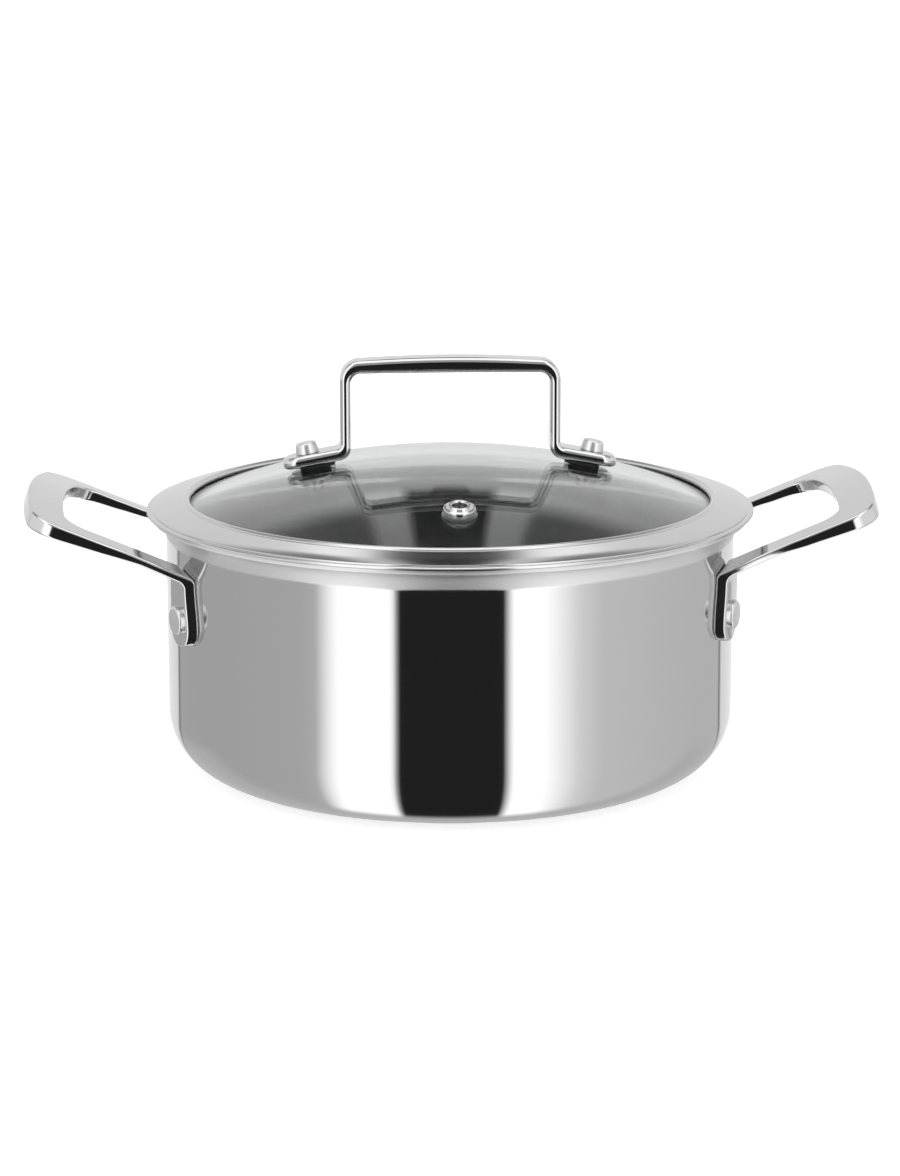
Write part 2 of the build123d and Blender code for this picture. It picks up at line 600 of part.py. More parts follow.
# Studs with the soft and hard washers stacked on each
for side_name, stud_plane in STUD_PLANES.items():
    stud_axis = Axis(stud_plane.origin, stud_plane.z_dir)
    tail_bottom = STUD_WASHER_BOTTOM - STUD_TAIL_HEIGHT
    head_top = FOOT_TOP + STUD_HEAD_HEIGHT
    with BuildPart() as lid_rivet:
        with BuildSketch(half_section(stud_plane)):
            with BuildLine():
                FilletPolyline(
                    (0, tail_bottom),
                    (STUD_TAIL_DIAMETER / 2, tail_bottom),
                    (STUD_TAIL_DIAMETER / 2, STUD_WASHER_BOTTOM),
                    (STUD_DIAMETER / 2, STUD_WASHER_BOTTOM),
                    (STUD_DIAMETER / 2, FOOT_TOP),
                    (STUD_HEAD_DIAMETER / 2, FOOT_TOP),
                    (STUD_HEAD_DIAMETER / 2 - STUD_HEAD_TAPER, head_top),
                    (0, head_top),
                    radius=(0, STUD_TAIL_EDGE, 0, 0, 0, 0, STUD_HEAD_EDGE, 0),
                    close=True,
                )
            make_face()
        revolve(axis=stud_axis)
    pieces[f"lid_rivet_{side_name}"] = lid_rivet.part

    with BuildPart() as foot_pad:
        with BuildSketch(stud_plane.offset(-OVERLAP)):
            SlotOverall(PAD_LENGTH, STRAP_FOOT_WIDTH - 2 * PAD_INSET)
            Circle(SHANK_HOLE, mode=Mode.SUBTRACT)
        extrude(amount=PAD_THICKNESS + OVERLAP)
        with Locations(DOME_CENTRE):
            Sphere(GLASS_CURVE_RADIUS, rotation=SEAM_AWAY, mode=Mode.SUBTRACT)
    pieces[f"foot_pad_{side_name}"] = foot_pad.part

    with BuildPart() as rivet_bush:
        with BuildSketch(stud_plane.offset(-GLASS_THICKNESS - OVERLAP)):
            Circle(BUSH_OUTSIDE)
            Circle(SHANK_HOLE, mode=Mode.SUBTRACT)
        extrude(amount=GLASS_THICKNESS + 2 * OVERLAP)
        with Locations(DOME_CENTRE):
            Sphere(GLASS_CURVE_RADIUS, rotation=SEAM_AWAY, mode=Mode.INTERSECT)
            Sphere(GLASS_INNER_CURVE, rotation=SEAM_AWAY, mode=Mode.SUBTRACT)
    pieces[f"rivet_bush_{side_name}"] = rivet_bush.part

    with BuildPart() as lower_seal:
        with BuildSketch(stud_plane.offset(SEAL_BOTTOM)):
            Circle(SEAL_DIAMETER / 2)
            Circle(SHANK_HOLE, mode=Mode.SUBTRACT)
        extrude(amount=SEAL_THICKNESS + OVERLAP)
        with Locations(DOME_CENTRE):
            Sphere(GLASS_INNER_CURVE, rotation=SEAM_AWAY, mode=Mode.INTERSECT)
    pieces[f"lower_seal_{side_name}"] = lower_seal.part

    with BuildPart() as stud_washer:
        with BuildSketch(stud_plane.offset(STUD_WASHER_BOTTOM)):
            Circle(WASHER_DIAMETER / 2)
            Circle(SHANK_HOLE, mode=Mode.SUBTRACT)
        extrude(amount=WASHER_THICKNESS)
    pieces[f"stud_washer_{side_name}"] = stud_washer.part

# Steam vent
with BuildPart() as vent_eyelet:
    with BuildSketch(half_section(VENT_PLANE)):
        with BuildLine():
            FilletPolyline(
                (VENT_BORE / 2, -OVERLAP),
                (VENT_DIAMETER / 2, -OVERLAP),
                (VENT_DIAMETER / 2, VENT_HEIGHT),
                (VENT_BORE / 2, VENT_HEIGHT),
                radius=(0, 0, VENT_EDGE, VENT_EDGE),
                close=True,
            )
        make_face()
    revolve(axis=VENT_AXIS)
    with Locations(DOME_CENTRE):
        Sphere(GLASS_CURVE_RADIUS, rotation=SEAM_AWAY, mode=Mode.SUBTRACT)
    with BuildSketch(half_section(VENT_PLANE)):
        with BuildLine():
            FilletPolyline(
                (VENT_BORE / 2, VENT_WASHER_BOTTOM - VENT_ROLL_HEIGHT),
                (VENT_ROLL_DIAMETER / 2, VENT_WASHER_BOTTOM - VENT_ROLL_HEIGHT),
                (VENT_ROLL_DIAMETER / 2, VENT_WASHER_BOTTOM),
                (VENT_TUBE, VENT_WASHER_BOTTOM),
                (VENT_TUBE, OVERLAP),
                (VENT_BORE / 2, OVERLAP),
                radius=(VENT_ROLL_EDGE, VENT_ROLL_EDGE, VENT_ROLL_EDGE, 0, 0, 0),
                close=True,
            )
        make_face()
    revolve(axis=VENT_AXIS)
pieces["vent_eyelet"] = vent_eyelet.part

with BuildPart() as vent_washer:
    with BuildSketch(VENT_PLANE.offset(VENT_WASHER_BOTTOM)):
        Circle(VENT_WASHER_DIAMETER / 2)
        Circle(VENT_TUBE + SHANK_GAP, mode=Mode.SUBTRACT)
    extrude(amount=VENT_WASHER_THICKNESS + OVERLAP)
    with Locations(DOME_CENTRE):
        Sphere(GLASS_INNER_CURVE, rotation=SEAM_AWAY, mode=Mode.INTERSECT)
pieces["vent_washer"] = vent_washer.part

os.makedirs("parts", exist_ok=True)
for piece_name, piece in pieces.items():
    piece.label = piece_name
    export_step(piece, f"parts/{piece_name}.step")
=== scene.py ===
"""Looks of a two-handled saucepan with a glass lid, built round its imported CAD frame.

Sizes are in millimetres, as in the part's own source, and become metres when a mesh is made.
The origin is the middle of the pot's base, +Z is up, the loop handles lie along X and the
steam vent of the lid faces -Y.
"""

import logging
from dataclasses import dataclass
from enum import Enum
from math import asin, cos, degrees, pi, radians, sin, sqrt, tan

import bmesh
import bpy
from mathutils import Matrix, Vector


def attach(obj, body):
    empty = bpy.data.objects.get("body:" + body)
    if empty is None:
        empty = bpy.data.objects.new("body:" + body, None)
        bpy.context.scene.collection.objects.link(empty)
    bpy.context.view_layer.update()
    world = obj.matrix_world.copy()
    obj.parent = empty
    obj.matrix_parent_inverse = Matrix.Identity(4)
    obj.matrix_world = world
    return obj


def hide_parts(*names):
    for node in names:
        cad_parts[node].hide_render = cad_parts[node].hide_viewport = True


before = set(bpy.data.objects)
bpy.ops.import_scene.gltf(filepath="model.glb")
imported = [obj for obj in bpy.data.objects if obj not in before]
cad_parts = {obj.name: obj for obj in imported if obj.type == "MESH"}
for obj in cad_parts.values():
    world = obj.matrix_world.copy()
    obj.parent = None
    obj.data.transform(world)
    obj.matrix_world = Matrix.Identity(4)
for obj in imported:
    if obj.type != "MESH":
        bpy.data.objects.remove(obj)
log = logging.getLogger("saucepan")

MM = 0.001
MERGE_GAP = 1e-4
SMOOTH_LIMIT = radians(40)
FLAT_FACE_WEIGHT = 50
QUARTER_TURN = 0.25

Stops = tuple[tuple[float, float], ...]
Point = tuple[float, float, float]


class Body(Enum):
    """The two bodies of the frame."""

    POT = "pot"
    LID = "lid"


class Grain(Enum):
    """Which way the fine lines of a steel finish run."""

    RINGS = "rings"
    CLOUDED = "clouded"


# Finishes


class NodeTree:
    """A material's or a world's node tree with short calls to fill it."""

    def __init__(self, tree: bpy.types.NodeTree) -> None:
        """Start from an empty tree.

        Args:
            tree: The node tree to fill.
        """
        self.tree = tree
        tree.nodes.clear()

    def node(self, kind: str, **settings: object) -> bpy.types.Node:
        """Add a node.

        Args:
            kind: The node's type name.
            settings: Attributes of the node to set.

        Returns:
            The new node.
        """
        made = self.tree.nodes.new(kind)
        for key, value in settings.items():
            setattr(made, key, value)
        return made

    def link(self, source: bpy.types.NodeSocket, target: bpy.types.NodeSocket) -> None:
        """Join an output to an input."""
        self.tree.links.new(source, target)

    def math(self, operation: str, *terms: object) -> bpy.types.NodeSocket:
        """Add a math node.

        Args:
            operation: The node's operation.
            terms: Its inputs, each a socket or a number.

        Returns:
            The result's socket.
        """
        made = self.node("ShaderNodeMath", operation=operation)
        for place, term in enumerate(terms):
            if isinstance(term, bpy.types.NodeSocket):
                self.link(term, made.inputs[place])
            else:
                made.inputs[place].default_value = term
        return made.outputs[0]

    def parts(self, vector: bpy.types.NodeSocket) -> list[bpy.types.NodeSocket]:
        """Split a vector.

        Args:
            vector: The vector's socket.

        Returns:
            The sockets of its X, Y and Z.
        """
        made = self.node("ShaderNodeSeparateXYZ")
        self.link(vector, made.inputs["Vector"])
        return [made.outputs[axis] for axis in "XYZ"]

    def ramp(self, source: bpy.types.NodeSocket, stops: Stops) -> bpy.types.NodeSocket:
        """Add a ramp of greys.

        Args:
            source: What drives the ramp.
            stops: Pairs of a position from 0 to 1 and a grey level.

        Returns:
            The ramp's colour socket.
        """
        made = self.node("ShaderNodeValToRGB")
        elements = made.color_ramp.elements
        while len(elements) < len(stops):
            elements.new(0.5)
        for element, (position, level) in zip(elements, stops):
            element.position = position
            element.color = (level, level, level, 1)
        self.link(source, made.inputs["Fac"])
        return made.outputs["Color"]

    def rise(self, source: bpy.types.NodeSocket, edge: tuple[float, float]) -> bpy.types.NodeSocket:
        """A ramp from 0 at an edge's start to 1 at its end."""
        return self.ramp(source, ((edge[0], 0.0), (edge[1], 1.0)))

    def mix(
        self, share: bpy.types.NodeSocket, first: bpy.types.NodeSocket, second: bpy.types.NodeSocket
    ) -> bpy.types.NodeSocket:
        """Mix two colours.

        Args:
            share: How much of the second colour shows, from 0 to 1.
            first: The first colour.
            second: The second colour.

        Returns:
            The mixed colour's socket.
        """
        made = self.node("ShaderNodeMix", data_type="RGBA")
        colours = [socket for socket in made.inputs if socket.type == "RGBA"]
        self.link(share, made.inputs["Factor"])
        self.link(first, colours[0])
        self.link(second, colours[1])
        return next(socket for socket in made.outputs if socket.type == "RGBA")

    def grey(self, level: float) -> bpy.types.NodeSocket:
        """A plain grey.

        Args:
            level: Its level, where 1 is white.

        Returns:
            The colour's socket.
        """
        made = self.node("ShaderNodeRGB")
        made.outputs["Color"].default_value = (level, level, level, 1)
        return made.outputs["Color"]

    def remap(
        self, source: bpy.types.NodeSocket, low: float, high: float, start: float = 0.0, end: float = 1.0
    ) -> bpy.types.NodeSocket:
        """Stretch a value over a range.

        Args:
            source: The value.
            low: Result at the start.
            high: Result at the end.
            start: Value where the range starts.
            end: Value where it ends.

        Returns:
            The result's socket.
        """
        made = self.node("ShaderNodeMapRange")
        made.inputs["From Min"].default_value = start
        made.inputs["From Max"].default_value = end
        made.inputs["To Min"].default_value = low
        made.inputs["To Max"].default_value = high
        self.link(source, made.inputs["Value"])
        return made.outputs["Result"]


@dataclass(frozen=True)
class Finish:
    """A surface finish, and the record's material slot that it belongs to.

    Its name is no slot's own name, because the frame brings a material for each slot.
    """

    name: str
    slot: str

    def material(self) -> bpy.types.Material:
        """The finish's material, made on first use.

        Returns:
            The material.
        """
        known = bpy.data.materials.get(self.name)
        if known is not None:
            return known
        made = bpy.data.materials.new(self.name)
        made.use_nodes = True
        nodes = NodeTree(made.node_tree)
        surface = nodes.node("ShaderNodeBsdfPrincipled")
        output = nodes.node("ShaderNodeOutputMaterial")
        nodes.link(surface.outputs["BSDF"], output.inputs["Surface"])
        self.paint(nodes, surface)
        return made

    def paint(self, nodes: NodeTree, surface: bpy.types.Node) -> None:
        """Set the shader up; each kind of finish has its own way."""
        raise NotImplementedError


@dataclass(frozen=True)
class Steel(Finish):
    """Stainless steel with a fine grain, and with a satin zone above a height where it has one; that zone's
    paler grey is painted light.
    """

    colour: tuple[float, float, float]
    roughness: float
    spread: float = 0.15
    stretch: float = 0.0
    grain: Grain = Grain.CLOUDED
    lines: float = 4000.0
    line_drift: float = 12.0
    detail: float = 3.0
    relief: float = 0.02
    relief_depth: float = 0.2
    satin: float = 0.0
    satin_above: float = 0.0
    satin_fade: float = 1.0
    # The satin zone's paler grey is painted light, standing in for the flare's brighter reflection.
    satin_painted_light: float = 0.8

    def paint(self, nodes: NodeTree, surface: bpy.types.Node) -> None:
        """Set up polished or brushed steel.

        Args:
            nodes: The material's tree.
            surface: Its shader.
        """
        surface.inputs["Metallic"].default_value = 1.0
        surface.inputs["Base Color"].default_value = (*self.colour, 1)
        surface.inputs["Anisotropic"].default_value = self.stretch
        place = nodes.node("ShaderNodeTexCoord").outputs["Object"]
        noise = self.grain_noise(nodes, place)
        low = self.roughness * (1 - self.spread)
        high = self.roughness * (1 + self.spread)
        rough = nodes.remap(noise, low, high)
        if self.satin:
            rough = self.add_satin_and_painted_light(nodes, surface, place, rough)
        nodes.link(rough, surface.inputs["Roughness"])
        if self.stretch:
            surface.inputs["Anisotropic Rotation"].default_value = QUARTER_TURN
            tangent = nodes.node("ShaderNodeTangent", direction_type="RADIAL", axis="Z")
            nodes.link(tangent.outputs["Tangent"], surface.inputs["Tangent"])
        bump = nodes.node("ShaderNodeBump")
        bump.inputs["Strength"].default_value = self.relief
        bump.inputs["Distance"].default_value = self.relief_depth * MM
        nodes.link(noise, bump.inputs["Height"])
        nodes.link(bump.outputs["Normal"], surface.inputs["Normal"])

    def grain_noise(self, nodes: NodeTree, place: bpy.types.NodeSocket) -> bpy.types.NodeSocket:
        """The grain's noise, in fine rings round the Z axis or even on all sides.

        Args:
            nodes: The material's tree.
            place: The place on the piece.

        Returns:
            The noise's socket.
        """
        noise = nodes.node("ShaderNodeTexNoise", noise_dimensions="4D")
        noise.inputs["Detail"].default_value = self.detail
        noise.inputs["Scale"].default_value = 1.0
        mapping = nodes.node("ShaderNodeMapping")
        nodes.link(place, mapping.inputs["Vector"])
        nodes.link(mapping.outputs["Vector"], noise.inputs["Vector"])
        if self.grain is Grain.RINGS:
            mapping.inputs["Scale"].default_value = (self.line_drift, self.line_drift, self.lines)
            x, y, _ = nodes.parts(place)
            across = nodes.math("POWER", x, 2.0)
            deep = nodes.math("POWER", y, 2.0)
            reach = nodes.math("SQRT", nodes.math("ADD", across, deep))
            nodes.link(nodes.math("MULTIPLY", reach, self.lines), noise.inputs["W"])
        else:
            mapping.inputs["Scale"].default_value = (self.lines, self.lines, self.lines)
        return noise.outputs["Fac"]

    def add_satin_and_painted_light(
        self,
        nodes: NodeTree,
        surface: bpy.types.Node,
        place: bpy.types.NodeSocket,
        rough: bpy.types.NodeSocket,
    ) -> bpy.types.NodeSocket:
        """Make the zone above a height rougher, with no stretched gloss, and paler with painted light.

        Args:
            nodes: The material's tree.
            surface: Its shader.
            place: The place on the piece.
            rough: The roughness below that height.

        Returns:
            The roughness of the whole surface.
        """
        _, _, height = nodes.parts(place)
        start = self.satin_above * MM
        share = nodes.remap(height, 0.0, 1.0, start, start + self.satin_fade * MM)
        stretch = nodes.math("MULTIPLY_ADD", share, -self.stretch, self.stretch)
        nodes.link(stretch, surface.inputs["Anisotropic"])
        # Paler grey in the satin zone: painted light for the flare's brighter reflection.
        shade = nodes.mix(share, nodes.grey(self.colour[0]), nodes.grey(self.satin_painted_light))
        nodes.link(shade, surface.inputs["Base Color"])
        return nodes.math("MULTIPLY_ADD", share, self.satin, rough)


@dataclass(frozen=True)
class Glass(Finish):
    """Clear tempered glass with a faint smear."""

    colour: tuple[float, float, float] = (0.95, 0.965, 0.96)
    bend: float = 1.5
    smear_scale: float = 60.0
    smear: float = 0.006

    def paint(self, nodes: NodeTree, surface: bpy.types.Node) -> None:
        """Set up the glass.

        Args:
            nodes: The material's tree.
            surface: Its shader.
        """
        surface.inputs["Base Color"].default_value = (*self.colour, 1)
        surface.inputs["Transmission Weight"].default_value = 1.0
        surface.inputs["IOR"].default_value = self.bend
        place = nodes.node("ShaderNodeTexCoord").outputs["Object"]
        smear = nodes.node("ShaderNodeTexNoise")
        smear.inputs["Scale"].default_value = self.smear_scale
        nodes.link(place, smear.inputs["Vector"])
        nodes.link(nodes.remap(smear.outputs["Fac"], 0.0, self.smear), surface.inputs["Roughness"])


@dataclass(frozen=True)
class Silicone(Finish):
    """Dark soft silicone."""

    colour: tuple[float, float, float] = (0.03, 0.03, 0.032)
    speckle_scale: float = 2500.0
    smoothest: float = 0.45
    roughest: float = 0.7

    def paint(self, nodes: NodeTree, surface: bpy.types.Node) -> None:
        """Set up the silicone.

        Args:
            nodes: The material's tree.
            surface: Its shader.
        """
        surface.inputs["Base Color"].default_value = (*self.colour, 1)
        place = nodes.node("ShaderNodeTexCoord").outputs["Object"]
        speckle = nodes.node("ShaderNodeTexNoise")
        speckle.inputs["Scale"].default_value = self.speckle_scale
        nodes.link(place, speckle.inputs["Vector"])
        rough = nodes.remap(speckle.outputs["Fac"], self.smoothest, self.roughest)
        nodes.link(rough, surface.inputs["Roughness"])


# The flare above 83.6 mm is rougher satin (real finish) and a paler grey, which is painted light for its
# brighter reflection.
WALL_STEEL = Steel(
    "wall_steel", "pot_steel", (0.63, 0.63, 0.635), 0.09,
    spread=0.05, stretch=1.0, grain=Grain.RINGS, relief=0.002, satin=0.36, satin_above=83.6,
)
# The liner's grey is darker than the outer wall's: painted shade for the dim inside of the covered pot.
LINER_STEEL_PAINTED_SHADE = Steel(
    "liner_steel_painted_shade", "inner_steel", (0.42, 0.42, 0.42), 0.19,
    spread=0.05, grain=Grain.RINGS, lines=1500.0, relief=0.001,
)
BAND_STEEL = Steel("band_steel", "satin_steel", (0.62, 0.62, 0.62), 0.14, spread=0.3, lines=3400.0)
HANDLE_STEEL = Steel("handle_steel", "polished_steel", (0.64, 0.64, 0.645), 0.1, spread=0.3)
STRAP_STEEL = Steel("strap_steel", "polished_steel", (0.66, 0.66, 0.665), 0.07, spread=0.3)
RIVET_STEEL = Steel("rivet_steel", "satin_steel", (0.76, 0.76, 0.76), 0.32, spread=0.2, relief=0.05)
CORE_METAL = Steel("heat_core_metal", "core_metal", (0.72, 0.72, 0.74), 0.35)
LID_GLASS = Glass("lid_glass_clear", "clear_glass")
PAD_SILICONE = Silicone("pad_silicone", "dark_silicone")


# Mesh tools


class Pen:
    """Draws an outline in the XZ plane with bmesh operators."""

    def __init__(self, x: float, z: float) -> None:
        """Put the pen down.

        Args:
            x: Start across, from the axis.
            z: Start height.
        """
        self.mesh = bmesh.new()
        self.first = self.mesh.verts.new((x, 0, z))
        self.tip = self.first

    def line(self, x: float, z: float) -> "Pen":
        """Draw a straight line.

        Args:
            x: End across.
            z: End height.

        Returns:
            The pen.
        """
        made = bmesh.ops.extrude_vert_indiv(self.mesh, verts=[self.tip])
        self.tip = made["verts"][0]
        self.tip.co = (x, 0, z)
        return self

    def arc(self, x: float, z: float, angle: float, steps: int) -> "Pen":
        """Turn about a centre.

        Args:
            x: Centre across.
            z: Centre height.
            angle: Degrees, anticlockwise with x to the right and z up.
            steps: Edges along the arc.

        Returns:
            The pen.
        """
        made = bmesh.ops.spin(
            self.mesh, geom=[self.tip], cent=(x, 0, z), axis=(0, -1, 0), angle=radians(angle), steps=steps
        )
        self.tip = next(item for item in made["geom_last"] if isinstance(item, bmesh.types.BMVert))
        return self

    def roll(self, slope: float, end_slope: float, radius: float, steps: int) -> "Pen":
        """Turn from one slope to another, outwards and down.

        Args:
            slope: Degrees by which the line falls where the turn starts.
            end_slope: Degrees by which it falls where the turn ends.
            radius: The turn's radius.
            steps: Edges along it.

        Returns:
            The pen.
        """
        away = -radius if end_slope > slope else radius
        x = self.tip.co.x + away * sin(radians(slope))
        z = self.tip.co.z + away * cos(radians(slope))
        return self.arc(x, z, slope - end_slope, steps)

    def fall(self, x: float, slope: float) -> "Pen":
        """Draw a straight line outwards and down.

        Args:
            x: End across.
            slope: Degrees by which it falls.

        Returns:
            The pen.
        """
        return self.line(x, self.tip.co.z - (x - self.tip.co.x) * tan(radians(slope)))

    def bow(self, x: float, z: float, rise: float, steps: int) -> "Pen":
        """Draw a shallow arc.

        Args:
            x: End across.
            z: End height.
            rise: How far the arc's middle stands to the left of the straight line.
            steps: Edges along the arc.

        Returns:
            The pen.
        """
        start, end = Vector((self.tip.co.x, self.tip.co.z)), Vector((x, z))
        chord = end - start
        radius = (chord.length_squared / 4 + rise * rise) / (2 * rise)
        left = Vector((-chord.y, chord.x)).normalized()
        centre = (start + end) / 2 + left * (rise - radius)
        angle = -2 * asin(chord.length / 2 / radius)
        return self.arc(centre.x, centre.y, degrees(angle), steps)

    @classmethod
    def outline(cls, corners: list[Point], steps: int) -> "Pen":
        """Draw a closed outline with rounded corners.

        Args:
            corners: Each corner's x, z and radius, in order.
            steps: Edges round each corner.

        Returns:
            A pen whose outline is closed.
        """
        points = [Vector((x, z)) for x, z, _ in corners]
        pen = None
        for place, (_, _, radius) in enumerate(corners):
            corner = points[place]
            back = (points[place - 1] - corner).normalized()
            ahead = (points[(place + 1) % len(points)] - corner).normalized()
            half = back.angle(ahead) / 2
            begin = corner + back * (radius / tan(half))
            pen = pen.line(begin.x, begin.y) if pen else cls(begin.x, begin.y)
            if radius == 0:
                continue
            centre = corner + (back + ahead).normalized() * (radius / sin(half))
            turn = 180 - 2 * degrees(half)
            if back.cross(ahead) > 0:
                turn = -turn
            pen.arc(centre.x, centre.y, turn, steps)
        return pen.close()

    def close(self) -> "Pen":
        """Join the tip to the start."""
        self.mesh.edges.new((self.tip, self.first))
        return self

    def turned(self, steps: int) -> bmesh.types.BMesh:
        """Turn the outline into a solid about the Z axis.

        Args:
            steps: Faces round the axis.

        Returns:
            The mesh.
        """
        bmesh.ops.spin(
            self.mesh,
            geom=self.mesh.verts[:] + self.mesh.edges[:],
            cent=(0, 0, 0),
            axis=(0, 0, 1),
            angle=2 * pi,
            steps=steps,
            use_merge=True,
        )
        bmesh.ops.remove_doubles(self.mesh, verts=self.mesh.verts, dist=MERGE_GAP)
        return self.mesh

    def plate(self, width: float) -> bmesh.types.BMesh:
        """Make a plate of the closed outline, half of its width each side of the XZ plane.

        Args:
            width: The plate's width along Y.

        Returns:
            The mesh.
        """
        bmesh.ops.contextual_create(self.mesh, geom=self.mesh.edges[:])
        bmesh.ops.translate(self.mesh, vec=(0, -width / 2, 0), verts=self.mesh.verts)
        made = bmesh.ops.extrude_face_region(self.mesh, geom=self.mesh.faces[:])
        moved = [item for item in made["geom"] if isinstance(item, bmesh.types.BMVert)]
        bmesh.ops.translate(self.mesh, vec=(0, width, 0), verts=moved)
        bmesh.ops.recalc_face_normals(self.mesh, faces=self.mesh.faces)
        return self.mesh


def eased(at: float, stations: tuple[float, ...], values: list[float]) -> float:
    """A smooth line through values at stations, level at each of them.

    Args:
        at: Where to read the line.
        stations: Rising places.
        values: The line's values there.

    Returns:
        The line's value.
    """
    place = max([i for i in range(len(stations) - 1) if stations[i] <= at], default=0)
    share = (at - stations[place]) / (stations[place + 1] - stations[place])
    share = min(max(share, 0.0), 1.0)
    return values[place] + (values[place + 1] - values[place]) * share * share * (3 - 2 * share)


def bevel(mesh: bmesh.types.BMesh, edges: list[bmesh.types.BMEdge], radius: float, segments: int) -> None:
    """Round edges.

    Args:
        mesh: The mesh.
        edges: The edges.
        radius: The rounding's radius.
        segments: Faces across the rounding.
    """
    bmesh.ops.bevel(
        mesh,
        geom=edges,
        offset=radius,
        affect="EDGES",
        segments=segments,
        profile=0.5,
        material=-1,
        clamp_overlap=False,
    )


def round_edges(mesh: bmesh.types.BMesh, radius: float, segments: int, least: float = 30.0) -> None:
    """Round every edge that is sharper than an angle.

    Args:
        mesh: The mesh.
        radius: The rounding's radius.
        segments: Faces across the rounding.
        least: Degrees between an edge's two faces from which it counts as sharp.
    """
    sharp = [e for e in mesh.edges if len(e.link_faces) == 2 and e.calc_face_angle() > radians(least)]
    bevel(mesh, sharp, radius, segments)


def make_piece(
    mesh: bmesh.types.BMesh,
    name: str,
    body: Body,
    nodes: tuple[str, ...],
    finish: Finish,
    flat: bool = False,
) -> None:
    """Turn a mesh in millimetres into a dressed piece that stands for CAD nodes.

    Args:
        mesh: The mesh, which is used up.
        name: The piece's name.
        body: The body that it rides on.
        nodes: The nodes that it stands for.
        finish: Its finish.
        flat: Whether wide faces keep flat normals beside rounded edges.
    """
    bmesh.ops.remove_doubles(mesh, verts=mesh.verts, dist=MERGE_GAP)
    bmesh.ops.recalc_face_normals(mesh, faces=mesh.faces)
    bmesh.ops.scale(mesh, vec=(MM, MM, MM), verts=mesh.verts)
    data = bpy.data.meshes.new(name)
    mesh.to_mesh(data)
    mesh.free()
    data.shade_smooth()
    data.set_sharp_from_angle(angle=SMOOTH_LIMIT)
    data.materials.append(finish.material())
    piece = bpy.data.objects.new(name, data)
    bpy.context.scene.collection.objects.link(piece)
    if flat:
        normals = piece.modifiers.new("flat_faces", "WEIGHTED_NORMAL")
        normals.keep_sharp = True
        normals.weight = FLAT_FACE_WEIGHT
    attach(piece, body.value)
    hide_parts(*nodes)
    faces = len(data.polygons)
    log.info("%s: %d faces, rides on %s, stands for %s", name, faces, body.value, ", ".join(nodes))


# Pot


@dataclass
class Pot:
    """The clad pot: outer skin, heat-spreading core and liner."""

    radius: float = 100.0
    height: float = 92.0
    corner: float = 21.5
    flare_radius: float = 7.0
    flare_angle: float = 74.0
    skin: float = 0.4
    core: float = 0.8
    liner: float = 0.4
    corner_steps: int = 16
    flare_steps: int = 14
    round_steps: int = 224

    @property
    def wall(self) -> float:
        """Thickness of the whole wall."""
        return self.skin + self.core + self.liner

    def layer(self, outer: float, inner: float) -> bmesh.types.BMesh:
        """One layer of the wall.

        Args:
            outer: Depth of its outer face below the pot's outside.
            inner: Depth of its inner face.

        Returns:
            The layer's mesh.
        """
        inset = self.radius - self.corner
        flare = radians(self.flare_angle)
        start = self.height - (self.flare_radius + self.wall) * sin(flare)
        centre = self.radius + self.flare_radius
        reach = self.flare_radius + inner
        pen = Pen(0, outer).line(inset, outer).arc(inset, self.corner, 90, self.corner_steps)
        pen.line(self.radius - outer, start).arc(centre, start, -self.flare_angle, self.flare_steps)
        pen.line(centre - reach * cos(flare), start + reach * sin(flare))
        pen.arc(centre, start, self.flare_angle, self.flare_steps).line(self.radius - inner, self.corner)
        pen.arc(inset, self.corner, -90, self.corner_steps).line(0, inner)
        return pen.turned(self.round_steps)

    def build(self) -> None:
        """Make the three layers."""
        middle = self.skin + self.core
        layers = (
            ("pot_skin", 0.0, self.skin, "pot_outer_skin", WALL_STEEL),
            ("pot_heat_core", self.skin, middle, "pot_core", CORE_METAL),
            ("pot_inside", middle, self.wall, "pot_liner", LINER_STEEL_PAINTED_SHADE),
        )
        for name, outer, inner, node, finish in layers:
            make_piece(self.layer(outer, inner), name, Body.POT, (node,), finish)


